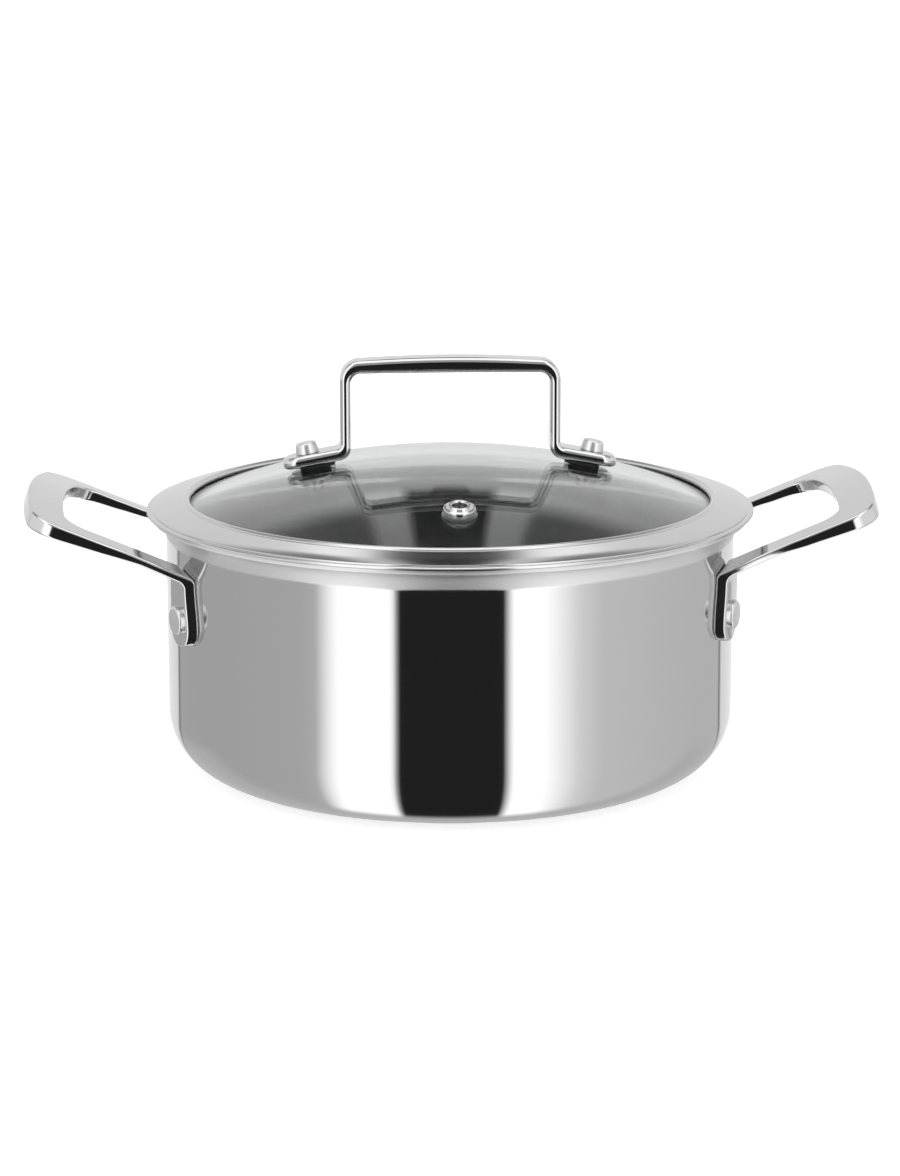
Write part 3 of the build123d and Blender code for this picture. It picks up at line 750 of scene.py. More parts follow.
@dataclass
class LoopHandle:
    """A cast loop handle: leaning plate with a finger slot, bent down into two wall tabs."""

    name: str
    side: int
    pot: Pot
    lean: float = radians(22.0)
    tilt: float = radians(3.4)
    ridge_radius: float = 380.0
    root_drop: float = 8.4
    reach: float = 50.7
    span: float = 87.4
    waist_span: float = 86.8
    bend_span: float = 92.4
    root_span: float = 95.6
    slot_span: float = 67.2
    slot_waist_span: float = 67.8
    grip_width: float = 13.0
    grip_depth: float = 6.0
    root_depth: float = 2.9
    end_radius: float = 180.0
    grip_corner: float = 11.0
    slot_corner: float = 9.0
    shoulder_run: float = 13.5
    bend_offset: float = -12.0
    waist_offset: float = 16.0
    tab_width: float = 13.0
    tab_thickness: float = 3.8
    tab_drop: float = 31.3
    bend_radius: float = 3.0
    crest_radius: float = 2.6
    taper_start: float = 7.3
    edge_radius: float = 0.8
    tab_turns: tuple[int, ...] = (76, 64, 52, 40, 28, 16, 6)
    tab_steps: int = 8
    bend_steps: int = 10
    bend_tries: int = 4
    arm_steps: int = 16
    corner_steps: int = 10
    end_steps: int = 14
    edge_steps: int = 4

    def __post_init__(self) -> None:
        """Work out the places that several methods share."""
        self.root_z = self.pot.height - self.root_drop
        self.tab_middle = (self.root_span - self.tab_width) / 2
        self.tab_bottom = self.root_z - self.tab_drop
        run = self.reach * cos(self.lean) - self.taper_start
        self.under_rise = tan(self.lean) - (self.grip_depth - self.root_depth) / run
        self.end_centre = self.reach - self.end_radius
        slot_radius = self.end_radius - self.grip_width
        corner = self.end_centre + sqrt(slot_radius**2 - (self.slot_span / 2) ** 2)
        self.shoulder = corner - self.shoulder_run

    def fall(self, y: float) -> float:
        """How far the plate falls away from its rounded ridge.

        Args:
            y: Distance from the handle's middle.

        Returns:
            The fall.
        """
        rounded = self.ridge_radius * sin(self.tilt)
        slope = tan(self.tilt)
        if abs(y) > rounded:
            return slope * abs(y)
        return slope * (y * y + rounded * rounded) / (2 * rounded)

    def plane_point(self, along: float, y: float, height: float) -> Point:
        """A point of the loop's leaning plane, lifted off it.

        Args:
            along: Distance out from the wall, along the plane.
            y: Distance from the handle's middle.
            height: Distance above the plane.

        Returns:
            The point, for a handle on the right.
        """
        x = self.pot.radius + along * cos(self.lean) - height * sin(self.lean)
        return x, y, self.root_z + along * sin(self.lean) + height * cos(self.lean)

    def plane_along(self, x: float, z: float) -> float:
        """How far out along the leaning plane a place lies."""
        return (x - self.pot.radius) * cos(self.lean) + (z - self.root_z) * sin(self.lean)

    def plate_point(self, along: float, y: float, under: bool) -> Point:
        """A point on the plate's top or underside.

        Args:
            along: Distance out from the wall, along the plane.
            y: Distance from the handle's middle.
            under: Whether the point is on the underside.

        Returns:
            The point.
        """
        lean_sin, lean_cos = sin(self.lean), cos(self.lean)
        fall = self.fall(y)
        if not under:
            return self.plane_point(along, y, -fall * lean_cos)
        if along * lean_cos < self.taper_start:
            return self.plane_point(along, y, -(fall + self.root_depth) * lean_cos)
        gain = (tan(self.lean) - self.under_rise) * self.taper_start
        drop = gain - self.root_depth - fall - along * (lean_sin - self.under_rise * lean_cos)
        return self.plane_point(along, y, drop / (lean_cos + self.under_rise * lean_sin))

    def half_width(self, along: float, share: float) -> float:
        """Distance from the middle of a line along the arm.

        Args:
            along: Distance out from the wall, along the plane.
            share: 0 on the arm's outer edge, 1 on its slot edge.

        Returns:
            The distance.
        """
        root_inside = self.root_span / 2 - self.tab_width
        stations = (self.bend_offset, self.waist_offset, self.shoulder)
        outer = [span / 2 for span in (self.bend_span, self.waist_span, self.span)]
        inner = [root_inside, self.slot_waist_span / 2, self.slot_span / 2]
        return (1 - share) * eased(along, stations, outer) + share * eased(along, stations, inner)

    def wall_reach(self, under: bool) -> float:
        """Distance from the pot's axis to the tab's front, or to its face against the wall."""
        return self.pot.radius + (self.tab_thickness if under else 0)

    def bend_point(self, turn: float, share: float, under: bool) -> Point:
        """A point in the bend between tab and arm.

        Args:
            turn: 0 where the tab ends, 1 where the arm begins.
            share: 0 on the arm's outer edge, 1 on its slot edge.
            under: Whether the point is on the underside, which runs on into the tab's front.

        Returns:
            The point.
        """
        wall = self.wall_reach(under)
        radius = self.bend_radius if under else self.crest_radius
        depth = self.root_depth if under else 0
        angle = pi - turn * (pi / 2 - self.lean)
        tangent = radius * tan((pi / 2 - self.lean) / 2)
        y = self.half_width(self.bend_offset, share)
        for _ in range(self.bend_tries):
            wall_x = sqrt(wall * wall - y * y)
            corner_z = self.root_z - depth - self.fall(y) + tan(self.lean) * (wall_x - self.pot.radius)
            x = wall_x + radius + radius * cos(angle)
            z = corner_z - tangent + radius * sin(angle)
            y = self.half_width(self.plane_along(x, z), share)
        return x, y, z

    def tab_point(self, y: float, z: float, under: bool) -> Point:
        """A point on the tab's front or on its face against the wall."""
        return sqrt(self.wall_reach(under) ** 2 - y * y), y, z

    def corner_point(self, turn: float, inside: bool) -> tuple[float, float]:
        """Plan of the grip's edge round its corner and along its end arc.

        Args:
            turn: 0 where the arm ends, 1 where the corner ends, 2 in the grip's middle.
            inside: Whether the edge is the slot's.

        Returns:
            The distance along the plane and the distance from the middle.
        """
        half = self.slot_span / 2 if inside else self.span / 2
        corner = self.slot_corner if inside else self.grip_corner
        radius = self.end_radius - (self.grip_width if inside else 0)
        centre_y = half - corner
        centre_a = self.end_centre + sqrt((radius - corner) ** 2 - centre_y**2)
        last = asin(centre_y / (radius - corner))
        if turn > 1:
            angle = last * (2 - turn)
            return self.end_centre + radius * cos(angle), radius * sin(angle)
        angle = pi / 2 - turn * (pi / 2 - last)
        return centre_a + corner * cos(angle), centre_y + corner * sin(angle)

    def tab_line(self, share: float, under: bool, bend: Point) -> list[Point]:
        """One line up a tab, from its round end to its bend.

        Args:
            share: 0 on the outer edge, 1 on the inner one.
            under: Whether the line is on the tab's front.
            bend: Where the bend begins.

        Returns:
            The line's points.
        """
        half = self.tab_width / 2
        round_z = self.tab_bottom + half
        offset = (1 - 2 * share) * half
        points = []
        for turn in self.tab_turns:
            y = self.tab_middle + offset * cos(radians(turn))
            points.append(self.tab_point(y, round_z - half * sin(radians(turn)), under))
        for step in range(self.tab_steps):
            z = round_z + (bend[2] - round_z) * step / self.tab_steps
            y = eased(z, (round_z, bend[2]), [self.tab_middle + offset, bend[1]])
            points.append(self.tab_point(y, z, under))
        return points

    def arm_line(self, share: float, under: bool, bend: Point) -> list[Point]:
        """One line along an arm and round the grip's corner to the grip's middle.

        Args:
            share: 0 on the outer edge, 1 on the slot's edge.
            under: Whether the line is on the underside.
            bend: Where the bend ends.

        Returns:
            The line's points.
        """
        turns = [step / self.corner_steps for step in range(self.corner_steps + 1)]
        turns += [1 + step / self.end_steps for step in range(1, self.end_steps + 1)]
        plans = []
        for turn in turns:
            edges = zip(self.corner_point(turn, False), self.corner_point(turn, True))
            plans.append([(1 - share) * outer + share * inner for outer, inner in edges])
        start = self.plane_along(bend[0], bend[2])
        points = []
        for step in range(1, self.arm_steps):
            along = start + (plans[0][0] - start) * step / self.arm_steps
            points.append(self.plate_point(along, self.half_width(along, share), under))
        return points + [self.plate_point(along, y, under) for along, y in plans]

    def chain(self, share: float, under: bool) -> list[Point]:
        """One line along half of the loop, from a tab's end to the grip's middle.

        Args:
            share: 0 on the outer edge, 0.5 between the edges, 1 on the slot's edge.
            under: Whether the line is on the underside.

        Returns:
            The line's points.
        """
        steps = range(self.bend_steps + 1)
        bend = [self.bend_point(step / self.bend_steps, share, under) for step in steps]
        return self.tab_line(share, under, bend[0]) + bend + self.arm_line(share, under, bend[-1])

    def build(self) -> None:
        """Loft the loop from rings of points, then round its edges."""
        lines = [(0, False), (0.5, False), (1, False), (1, True), (0.5, True), (0, True)]
        halves = [self.chain(share, under) for share, under in lines]
        count = len(halves[0])
        stations = [(place, -1) for place in range(count)]
        stations += [(place, 1) for place in range(count - 2, -1, -1)]
        mesh = bmesh.new()
        rings = []
        for place, hand in stations:
            ring = []
            for line in halves:
                x, y, z = line[place]
                ring.append(mesh.verts.new((self.side * x, hand * y, z)))
            rings.append([mesh.edges.new((ring[i - 1], ring[i])) for i in range(len(ring))])
        for first, second in zip(rings, rings[1:]):
            bmesh.ops.bridge_loops(mesh, edges=first + second)
        for ring in (rings[0], rings[-1]):
            bmesh.ops.contextual_create(mesh, geom=ring)
        bmesh.ops.recalc_face_normals(mesh, faces=mesh.faces)
        round_edges(mesh, self.edge_radius, self.edge_steps)
        make_piece(mesh, f"{self.name}_loop", Body.POT, (self.name,), HANDLE_STEEL, flat=True)


@dataclass
class HandleRivets:
    """The four rivets that hold the loop handles to the wall."""

    pot: Pot
    handle: LoopHandle
    shank: float = 2.5
    head: float = 5.0
    head_height: float = 2.2
    head_edge: float = 0.9
    inner_head: float = 6.0
    inner_height: float = 1.6
    inner_edge: float = 0.2
    inner_dome: float = 0.5
    rise: float = 9.7
    bedding: float = 0.25
    edge_steps: int = 6
    dome_steps: int = 10
    round_steps: int = 48

    def rivet(self) -> bmesh.types.BMesh:
        """One rivet along Z, its origin on the pot's axis.

        Returns:
            The mesh.
        """
        tab = self.pot.radius + self.handle.tab_thickness
        liner = self.pot.radius - self.pot.wall
        top = tab + self.head_height
        pen = Pen(0, top).line(self.head - self.head_edge, top)
        pen.arc(self.head - self.head_edge, top - self.head_edge, -90, self.edge_steps)
        pen.line(self.head, tab - self.bedding).line(self.shank, tab - self.bedding)
        pen.line(self.shank, liner).line(self.inner_head, liner - self.inner_edge)
        pen.bow(0, liner - self.inner_height, self.inner_dome, self.dome_steps)
        return pen.turned(self.round_steps)

    def build(self) -> None:
        """Make the rivets."""
        angle = asin(self.handle.tab_middle / self.pot.radius)
        angles = {
            "right_rear": angle,
            "left_rear": pi - angle,
            "left_front": pi + angle,
            "right_front": -angle,
        }
        lift = Matrix.Translation((0, 0, self.handle.tab_bottom + self.rise))
        for name, turn in angles.items():
            mesh = self.rivet()
            lay = Matrix.Rotation(turn, 4, "Z") @ Matrix.Rotation(pi / 2, 4, "Y")
            bmesh.ops.transform(mesh, matrix=lift @ lay, verts=mesh.verts)
            make_piece(mesh, f"{name}_rivet_head", Body.POT, (f"{name}_rivet",), RIVET_STEEL)


# Lid


@dataclass
class Lid:
    """The glass dome and the roll-formed steel band round it."""

    pot: Pot
    rise: float = 19.0
    bow: float = 18.15
    glass: float = 4.0
    glass_ease: float = 0.6
    glass_under_ease: float = 0.4
    inset: float = 4.0
    overhang: float = 6.8
    sheet: float = 0.7
    sheet_slope: float = 11.0
    sheet_flat: float = 6.0
    brim_slope: float = 19.0
    brim_inset: float = 0.3
    brim_depth: float = 0.8
    step: float = 0.45
    step_slope: float = 86.0
    step_run: float = 0.02
    step_radius: float = 0.15
    bead: float = 1.9
    hem_width: float = 4.8
    hem_fold: float = 0.4
    hem_inset: float = 1.0
    hem_gap: float = 0.15
    lip_radius: float = 1.4
    lip_inset: float = 3.1
    lip_start: float = 260.0
    lip_meet: float = 20.0
    lower_lip: float = 2.8
    channel_roof: float = 0.45
    channel_outside: float = 0.55
    seat_gap: float = 0.3
    edge_gap: float = 0.3
    dome_steps: int = 40
    lip_steps: int = 22
    brim_steps: int = 8
    step_steps: int = 4
    bead_steps: int = 10
    round_steps: int = 256

    def __post_init__(self) -> None:
        """Work out the dome's curve."""
        self.glass_radius = self.pot.radius - self.inset
        self.curve = (self.glass_radius**2 + self.bow**2) / (2 * self.bow)
        self.crest = self.pot.height + self.rise
        self.centre = self.crest - self.curve

    def height(self, reach: float, below: float = 0.0) -> float:
        """Height of the dome at a distance from its axis, a depth below its outside."""
        return self.centre + sqrt((self.curve - below) ** 2 - reach**2)

    def frame_at(self, x: float, y: float) -> Matrix:
        """A frame on the glass at x, y: its Z points out of the dome.

        Args:
            x: Place across.
            y: Place in depth.

        Returns:
            The matrix from that frame to the lid.
        """
        z = self.height(sqrt(x * x + y * y))
        out = Vector((x, y, z - self.centre)).normalized()
        across = Vector((out.z, 0, -out.x)).normalized()
        turn = Matrix((across, out.cross(across), out)).transposed().to_4x4()
        return Matrix.Translation((x, y, z)) @ turn

    def dome(self) -> bmesh.types.BMesh:
        """The glass dome.

        Returns:
            The mesh.
        """
        edge = self.glass_radius
        eased_edge = edge - self.glass_ease
        outside = degrees(asin(eased_edge / self.curve))
        inside = degrees(asin(eased_edge / (self.curve - self.glass)))
        pen = Pen(0, self.crest).arc(0, self.centre, -outside, self.dome_steps)
        pen.line(edge, self.height(edge) - self.glass_ease)
        pen.line(edge, self.height(edge, self.glass) + self.glass_under_ease)
        pen.line(eased_edge, self.height(eased_edge, self.glass))
        pen.arc(0, self.centre, inside, self.dome_steps)
        return pen.turned(self.round_steps)

    def draw_brim(self, pen: Pen) -> None:
        """Draw the band's outside from the lip: flat sheet, brim, fine step, bead and hem.

        Args:
            pen: A pen at the lip's outer end.
        """
        rim = self.pot.radius + self.overhang
        bottom = self.pot.height + self.seat_gap
        shoulder = rim - self.bead
        pen.fall(pen.tip.co.x + self.sheet_flat, self.sheet_slope)
        turn = sin(radians(self.brim_slope)) - sin(radians(self.sheet_slope))
        brim_radius = (shoulder - pen.tip.co.x) / turn
        pen.roll(self.sheet_slope, self.brim_slope, brim_radius, self.brim_steps)
        shoulder_z = pen.tip.co.z
        pen.roll(self.brim_slope, self.step_slope, self.step_radius, self.step_steps)
        pen.line(pen.tip.co.x + self.step_run, shoulder_z - self.step + self.step_radius)
        pen.roll(self.step_slope, 0.0, self.step_radius, self.step_steps)
        edge = pen.tip.co.z - bottom
        pen.line(rim - edge, pen.tip.co.z).roll(0.0, 90.0, edge, self.bead_steps)
        fold = bottom + self.hem_fold
        pen.line(rim - self.hem_width, bottom).line(rim - self.hem_width, fold)
        pen.line(rim - self.hem_inset, fold).line(rim - self.hem_inset, fold + self.hem_gap)
        pen.line(shoulder - self.brim_inset, shoulder_z - self.brim_depth)

    def band(self) -> bmesh.types.BMesh:
        """The band: rolled lip, brim with its hem, and the channel that grips the glass.

        Returns:
            The mesh.
        """
        lip = self.glass_radius - self.lip_inset
        lip_z = self.height(lip, -self.lip_radius)
        start, meet = (
            (lip + self.lip_radius * cos(radians(angle)), lip_z + self.lip_radius * sin(radians(angle)))
            for angle in (self.lip_start, self.lip_meet)
        )
        pen = Pen(*start).arc(lip, lip_z, self.lip_meet - self.lip_start, self.lip_steps)
        pen.tip.co = (meet[0], 0, meet[1])
        self.draw_brim(pen)
        inside = self.glass_radius + self.edge_gap
        outside = inside + self.sheet
        lower = lip - self.lower_lip
        pen.line(outside, lip_z - self.channel_outside)
        pen.line(outside, self.height(outside, self.glass + self.sheet))
        pen.line(lower, self.height(lower, self.glass + self.sheet))
        pen.line(lower, self.height(lower, self.glass))
        pen.line(inside, self.height(inside, self.glass)).line(inside, lip_z - self.channel_roof)
        return pen.close().turned(self.round_steps)

    def build(self) -> None:
        """Make the glass and the band."""
        make_piece(self.dome(), "glass_dome", Body.LID, ("lid_glass",), LID_GLASS)
        make_piece(self.band(), "rim_band", Body.LID, ("lid_rim_band",), BAND_STEEL)


@dataclass
class StrapHandle:
    """The bent strap on the lid with its studs, pads and washers."""

    lid: Lid
    rise: float = 34.8
    arch: float = 2.0
    under_arch: float = 0.3
    arch_share: float = 0.65
    bar_depth: float = 5.4
    leg: float = 3.7
    outer_span: float = 77.2
    length: float = 117.2
    top_width: float = 10.4
    foot_width: float = 12.4
    foot_thickness: float = 4.1
    outer_corner: float = 7.0
    inner_corner: float = 3.6
    toe_radius: float = 2.2
    heel_radius: float = 4.6
    edge_radius: float = 1.75
    end_flat: float = 1.6
    end_margin: float = 0.01
    stud_spacing: float = 98.0
    stud: float = 2.5
    stud_head: float = 4.2
    stud_height: float = 3.8
    stud_taper: float = 0.5
    stud_edge: float = 0.8
    stud_turn: float = 80.0
    stud_ease: float = 0.3
    pad: float = 1.4
    pad_inset: float = 2.4
    pad_length: float = 12.6
    pad_shift: float = 2.6
    pad_bedding: float = 0.12
    pad_edge: float = 0.35
    hole_gap: float = 0.05
    bush_wall: float = 1.25
    bush_ease: float = 0.1
    seal_radius: float = 7.0
    seal: float = 1.5
    seal_edge: float = 0.3
    washer_radius: float = 6.5
    washer: float = 1.2
    washer_edge: float = 0.25
    tail_radius: float = 4.0
    tail: float = 1.4
    tail_edge: float = 1.0
    corner_steps: int = 12
    end_steps: int = 10
    edge_steps: int = 5
    stud_steps: int = 6
    tail_steps: int = 5
    ring_steps: int = 4
    pad_steps: int = 16
    pad_edge_steps: int = 3
    round_steps: int = 48

    def __post_init__(self) -> None:
        """Work out the strap's height, the slope of its feet and the faces of the stack."""
        self.top = self.lid.crest + self.rise
        self.slope = asin(self.stud_spacing / 2 / self.lid.curve)
        self.foot_top = self.pad + self.foot_thickness
        self.hole = self.stud + self.hole_gap
        self.seal_face = -self.lid.glass - self.seal
        self.washer_face = self.seal_face - self.washer

    def foot_z(self, x: float, lift: float) -> float:
        """Height of a line parallel to the glass under the right foot.

        Args:
            x: Place across.
            lift: Distance above the glass.

        Returns:
            The height.
        """
        along = (x - self.stud_spacing / 2 - lift * sin(self.slope)) / cos(self.slope)
        stud_z = self.lid.height(self.stud_spacing / 2)
        return stud_z + lift * cos(self.slope) - along * sin(self.slope)

    def half_width(self, z: float) -> float:
        """Half the strap's width, which widens evenly from the bar to the feet.

        Args:
            z: Height.

        Returns:
            The half width there.
        """
        foot = self.foot_z(self.outer_span / 2, self.foot_top)
        share = (self.top - z) / (self.top - foot)
        return (self.top_width + (self.foot_width - self.top_width) * share) / 2

    def strap_corners(self) -> list[Point]:
        """The corners of the strap's side outline.

        Returns:
            Each corner's x, z and radius, from the middle of the bar's top to the right and round.
        """
        outside = self.outer_span / 2
        inside = outside - self.leg
        end = self.length / 2
        peak = self.top + self.arch * self.arch_share / 2
        under = self.top - self.bar_depth + self.under_arch * self.arch_share / 2
        side = [
            (outside, peak - self.arch, self.outer_corner),
            (outside, self.foot_z(outside, self.foot_top), self.toe_radius),
            (end, self.foot_z(end, self.foot_top), 0.0),
            (end, self.foot_z(end, self.pad), 0.0),
            (inside, self.foot_z(inside, self.pad), self.heel_radius),
            (inside, under - self.under_arch, self.inner_corner),
        ]
        corners = [(0.0, peak, self.arch_share * outside**2 / self.arch)] + side
        corners += [(0.0, under, self.arch_share * inside**2 / self.under_arch)]
        return corners + [(-x, z, radius) for x, z, radius in reversed(side)]

    def strap(self) -> bmesh.types.BMesh:
        """The strap: a plate of half width 1, widened, with round feet and rounded edges.

        Returns:
            The mesh.
        """
        mesh = Pen.outline(self.strap_corners(), self.corner_steps).plate(2.0)
        for vert in mesh.verts:
            vert.co.y *= self.half_width(vert.co.z)
        far = self.length / 2 - self.end_margin
        ends = []
        for edge in mesh.edges:
            first, second = (vert.co for vert in edge.verts)
            upright = abs(first.y - second.y) < abs(first.z - second.z)
            if upright and min(abs(first.x), abs(second.x)) > far:
                ends.append(edge)
        bevel(mesh, ends, (self.foot_width - self.end_flat) / 2, self.end_steps)
        round_edges(mesh, self.edge_radius, self.edge_steps)
        return mesh

    def stud_mesh(self) -> bmesh.types.BMesh:
        """A stud with its barrel head and peened tail, its origin on the glass.

        Returns:
            The mesh.
        """
        bed = self.foot_top
        top = bed + self.stud_height
        edge = self.stud_head - self.stud_taper - self.stud_edge
        pen = Pen(0, top).line(edge, top).arc(edge, top - self.stud_edge, -self.stud_turn, self.stud_steps)
        pen.line(self.stud_head, bed + self.stud_ease).line(self.stud_head - self.stud_ease, bed)
        pen.line(self.stud, bed).line(self.stud, self.washer_face).line(self.tail_radius, self.washer_face)
        tail_side = self.washer_face - self.tail + self.tail_edge
        pen.line(self.tail_radius, tail_side)
        pen.arc(self.tail_radius - self.tail_edge, tail_side, -90, self.tail_steps)
        return pen.line(0, self.washer_face - self.tail).turned(self.round_steps)

    def ring(self, outer: float, low: float, high: float, edge: float) -> bmesh.types.BMesh:
        """A ring round the stud, with eased edges.

        Args:
            outer: Its outer radius.
            low: Its lower face.
            high: Its upper face.
            edge: Radius of its outer edges.

        Returns:
            The mesh.
        """
        pen = Pen(self.hole, low).line(outer - edge, low).arc(outer - edge, low + edge, 90, self.ring_steps)
        pen.line(outer, high - edge).arc(outer - edge, high - edge, 90, self.ring_steps)
        return pen.line(self.hole, high).close().turned(self.round_steps)

    def pad_mesh(self, hand: int) -> bmesh.types.BMesh:
        """A soft pad with round ends, its origin on the glass.

        Args:
            hand: 1 for the right foot, -1 for the left one; the pad lies towards the strap's leg.

        Returns:
            The mesh.
        """
        half = self.foot_width / 2 - self.pad_inset
        run = self.pad_length / 2 - half
        pen = Pen(run, -half).arc(run, 0, 180, self.pad_steps)
        pen.line(-run, half).arc(-run, 0, 180, self.pad_steps).close()
        mesh = pen.plate(self.pad + self.pad_bedding)
        place = Matrix.Translation((-hand * self.pad_shift, 0, (self.pad - self.pad_bedding) / 2))
        lay = place @ Matrix.Rotation(pi / 2, 4, "X")
        bmesh.ops.transform(mesh, matrix=lay, verts=mesh.verts)
        round_edges(mesh, self.pad_edge, self.pad_edge_steps)
        return mesh

    def build(self) -> None:
        """Make the strap and everything that holds it."""
        make_piece(self.strap(), "strap_handle", Body.LID, ("lid_handle",), STRAP_STEEL, flat=True)
        under = -self.lid.glass
        bush = (self.hole + self.bush_wall, under + self.bush_ease, -self.bush_ease, self.bush_ease)
        seal = (self.seal_radius, self.seal_face, under, self.seal_edge)
        washer = (self.washer_radius, self.washer_face, self.seal_face, self.washer_edge)
        for name, hand in (("left", -1), ("right", 1)):
            seat = self.lid.frame_at(hand * self.stud_spacing / 2, 0)
            stack = (
                (self.stud_mesh(), "stud", "lid_rivet", RIVET_STEEL),
                (self.pad_mesh(hand), "pad", "foot_pad", PAD_SILICONE),
                (self.ring(*bush), "bush", "rivet_bush", PAD_SILICONE),
                (self.ring(*seal), "seal", "lower_seal", PAD_SILICONE),
                (self.ring(*washer), "plate_washer", "stud_washer", RIVET_STEEL),
            )
            for mesh, word, node, finish in stack:
                bmesh.ops.transform(mesh, matrix=seat, verts=mesh.verts)
                make_piece(mesh, f"{word}_{name}", Body.LID, (f"{node}_{name}",), finish)


@dataclass
class SteamVent:
    """The eyelet of the steam vent and the washer under it."""

    lid: Lid
    offset: float = 63.0
    flange: float = 5.5
    height: float = 2.2
    bore: float = 2.5
    wall: float = 0.8
    roll: float = 4.7
    roll_height: float = 1.0
    roll_edge: float = 0.45
    edge: float = 0.8
    skirt: float = 4.45
    skirt_slope: float = 50.0
    skirt_foot: float = 0.3
    brim_slope: float = 12.0
    brim_edge: float = 0.5
    bedding: float = 0.05
    washer_radius: float = 6.0
    washer: float = 1.0
    washer_ease: float = 0.2
    hole_gap: float = 0.05
    edge_steps: int = 8
    brim_steps: int = 6
    foot_steps: int = 4
    roll_steps: int = 5
    round_steps: int = 64

    def eyelet(self) -> bmesh.types.BMesh:
        """The eyelet, its origin on the glass: bore, skirt, brim, tube and rolled end.

        Returns:
            The mesh.
        """
        low = -self.lid.glass - self.washer
        tube = self.bore + self.wall
        brim = self.flange - self.brim_edge * (1 - sin(radians(self.brim_slope)))
        pen = Pen(self.bore, 0).line(self.bore, self.height - self.edge)
        pen.arc(self.bore + self.edge, self.height - self.edge, -90, self.edge_steps)
        pen.roll(0.0, self.skirt_slope, self.edge, self.brim_steps).fall(self.skirt, self.skirt_slope)
        pen.roll(self.skirt_slope, self.brim_slope, self.skirt_foot, self.foot_steps)
        pen.fall(brim, self.brim_slope).roll(self.brim_slope, 90.0, self.brim_edge, self.brim_steps)
        pen.line(self.flange, -self.bedding).line(tube, -self.bedding).line(tube, low)
        end = self.roll - self.roll_edge
        end_low = low - self.roll_height
        end_side = end_low + self.roll_edge
        pen.line(end, low).arc(end, low - self.roll_edge, -90, self.roll_steps).line(self.roll, end_side)
        pen.arc(end, end_side, -90, self.roll_steps).line(self.bore + self.roll_edge, end_low)
        pen.arc(self.bore + self.roll_edge, end_side, -90, self.roll_steps)
        return pen.close().turned(self.round_steps)

    def under_washer(self) -> bmesh.types.BMesh:
        """The washer under the glass.

        Returns:
            The mesh.
        """
        high = -self.lid.glass
        low = high - self.washer
        hole = self.bore + self.wall + self.hole_gap
        pen = Pen(hole, low).line(self.washer_radius - self.washer_ease, low)
        pen.line(self.washer_radius, low + self.washer_ease).line(self.washer_radius, high)
        return pen.line(hole, high).close().turned(self.round_steps)

    def build(self) -> None:
        """Make the eyelet and its washer."""
        seat = self.lid.frame_at(0, -self.offset)
        parts = (
            (self.eyelet(), "vent_ring", "vent_eyelet", STRAP_STEEL),
            (self.under_washer(), "vent_under_ring", "vent_washer", RIVET_STEEL),
        )
        for mesh, name, node, finish in parts:
            bmesh.ops.transform(mesh, matrix=seat, verts=mesh.verts)
            make_piece(mesh, name, Body.LID, (node,), finish)


# Studio


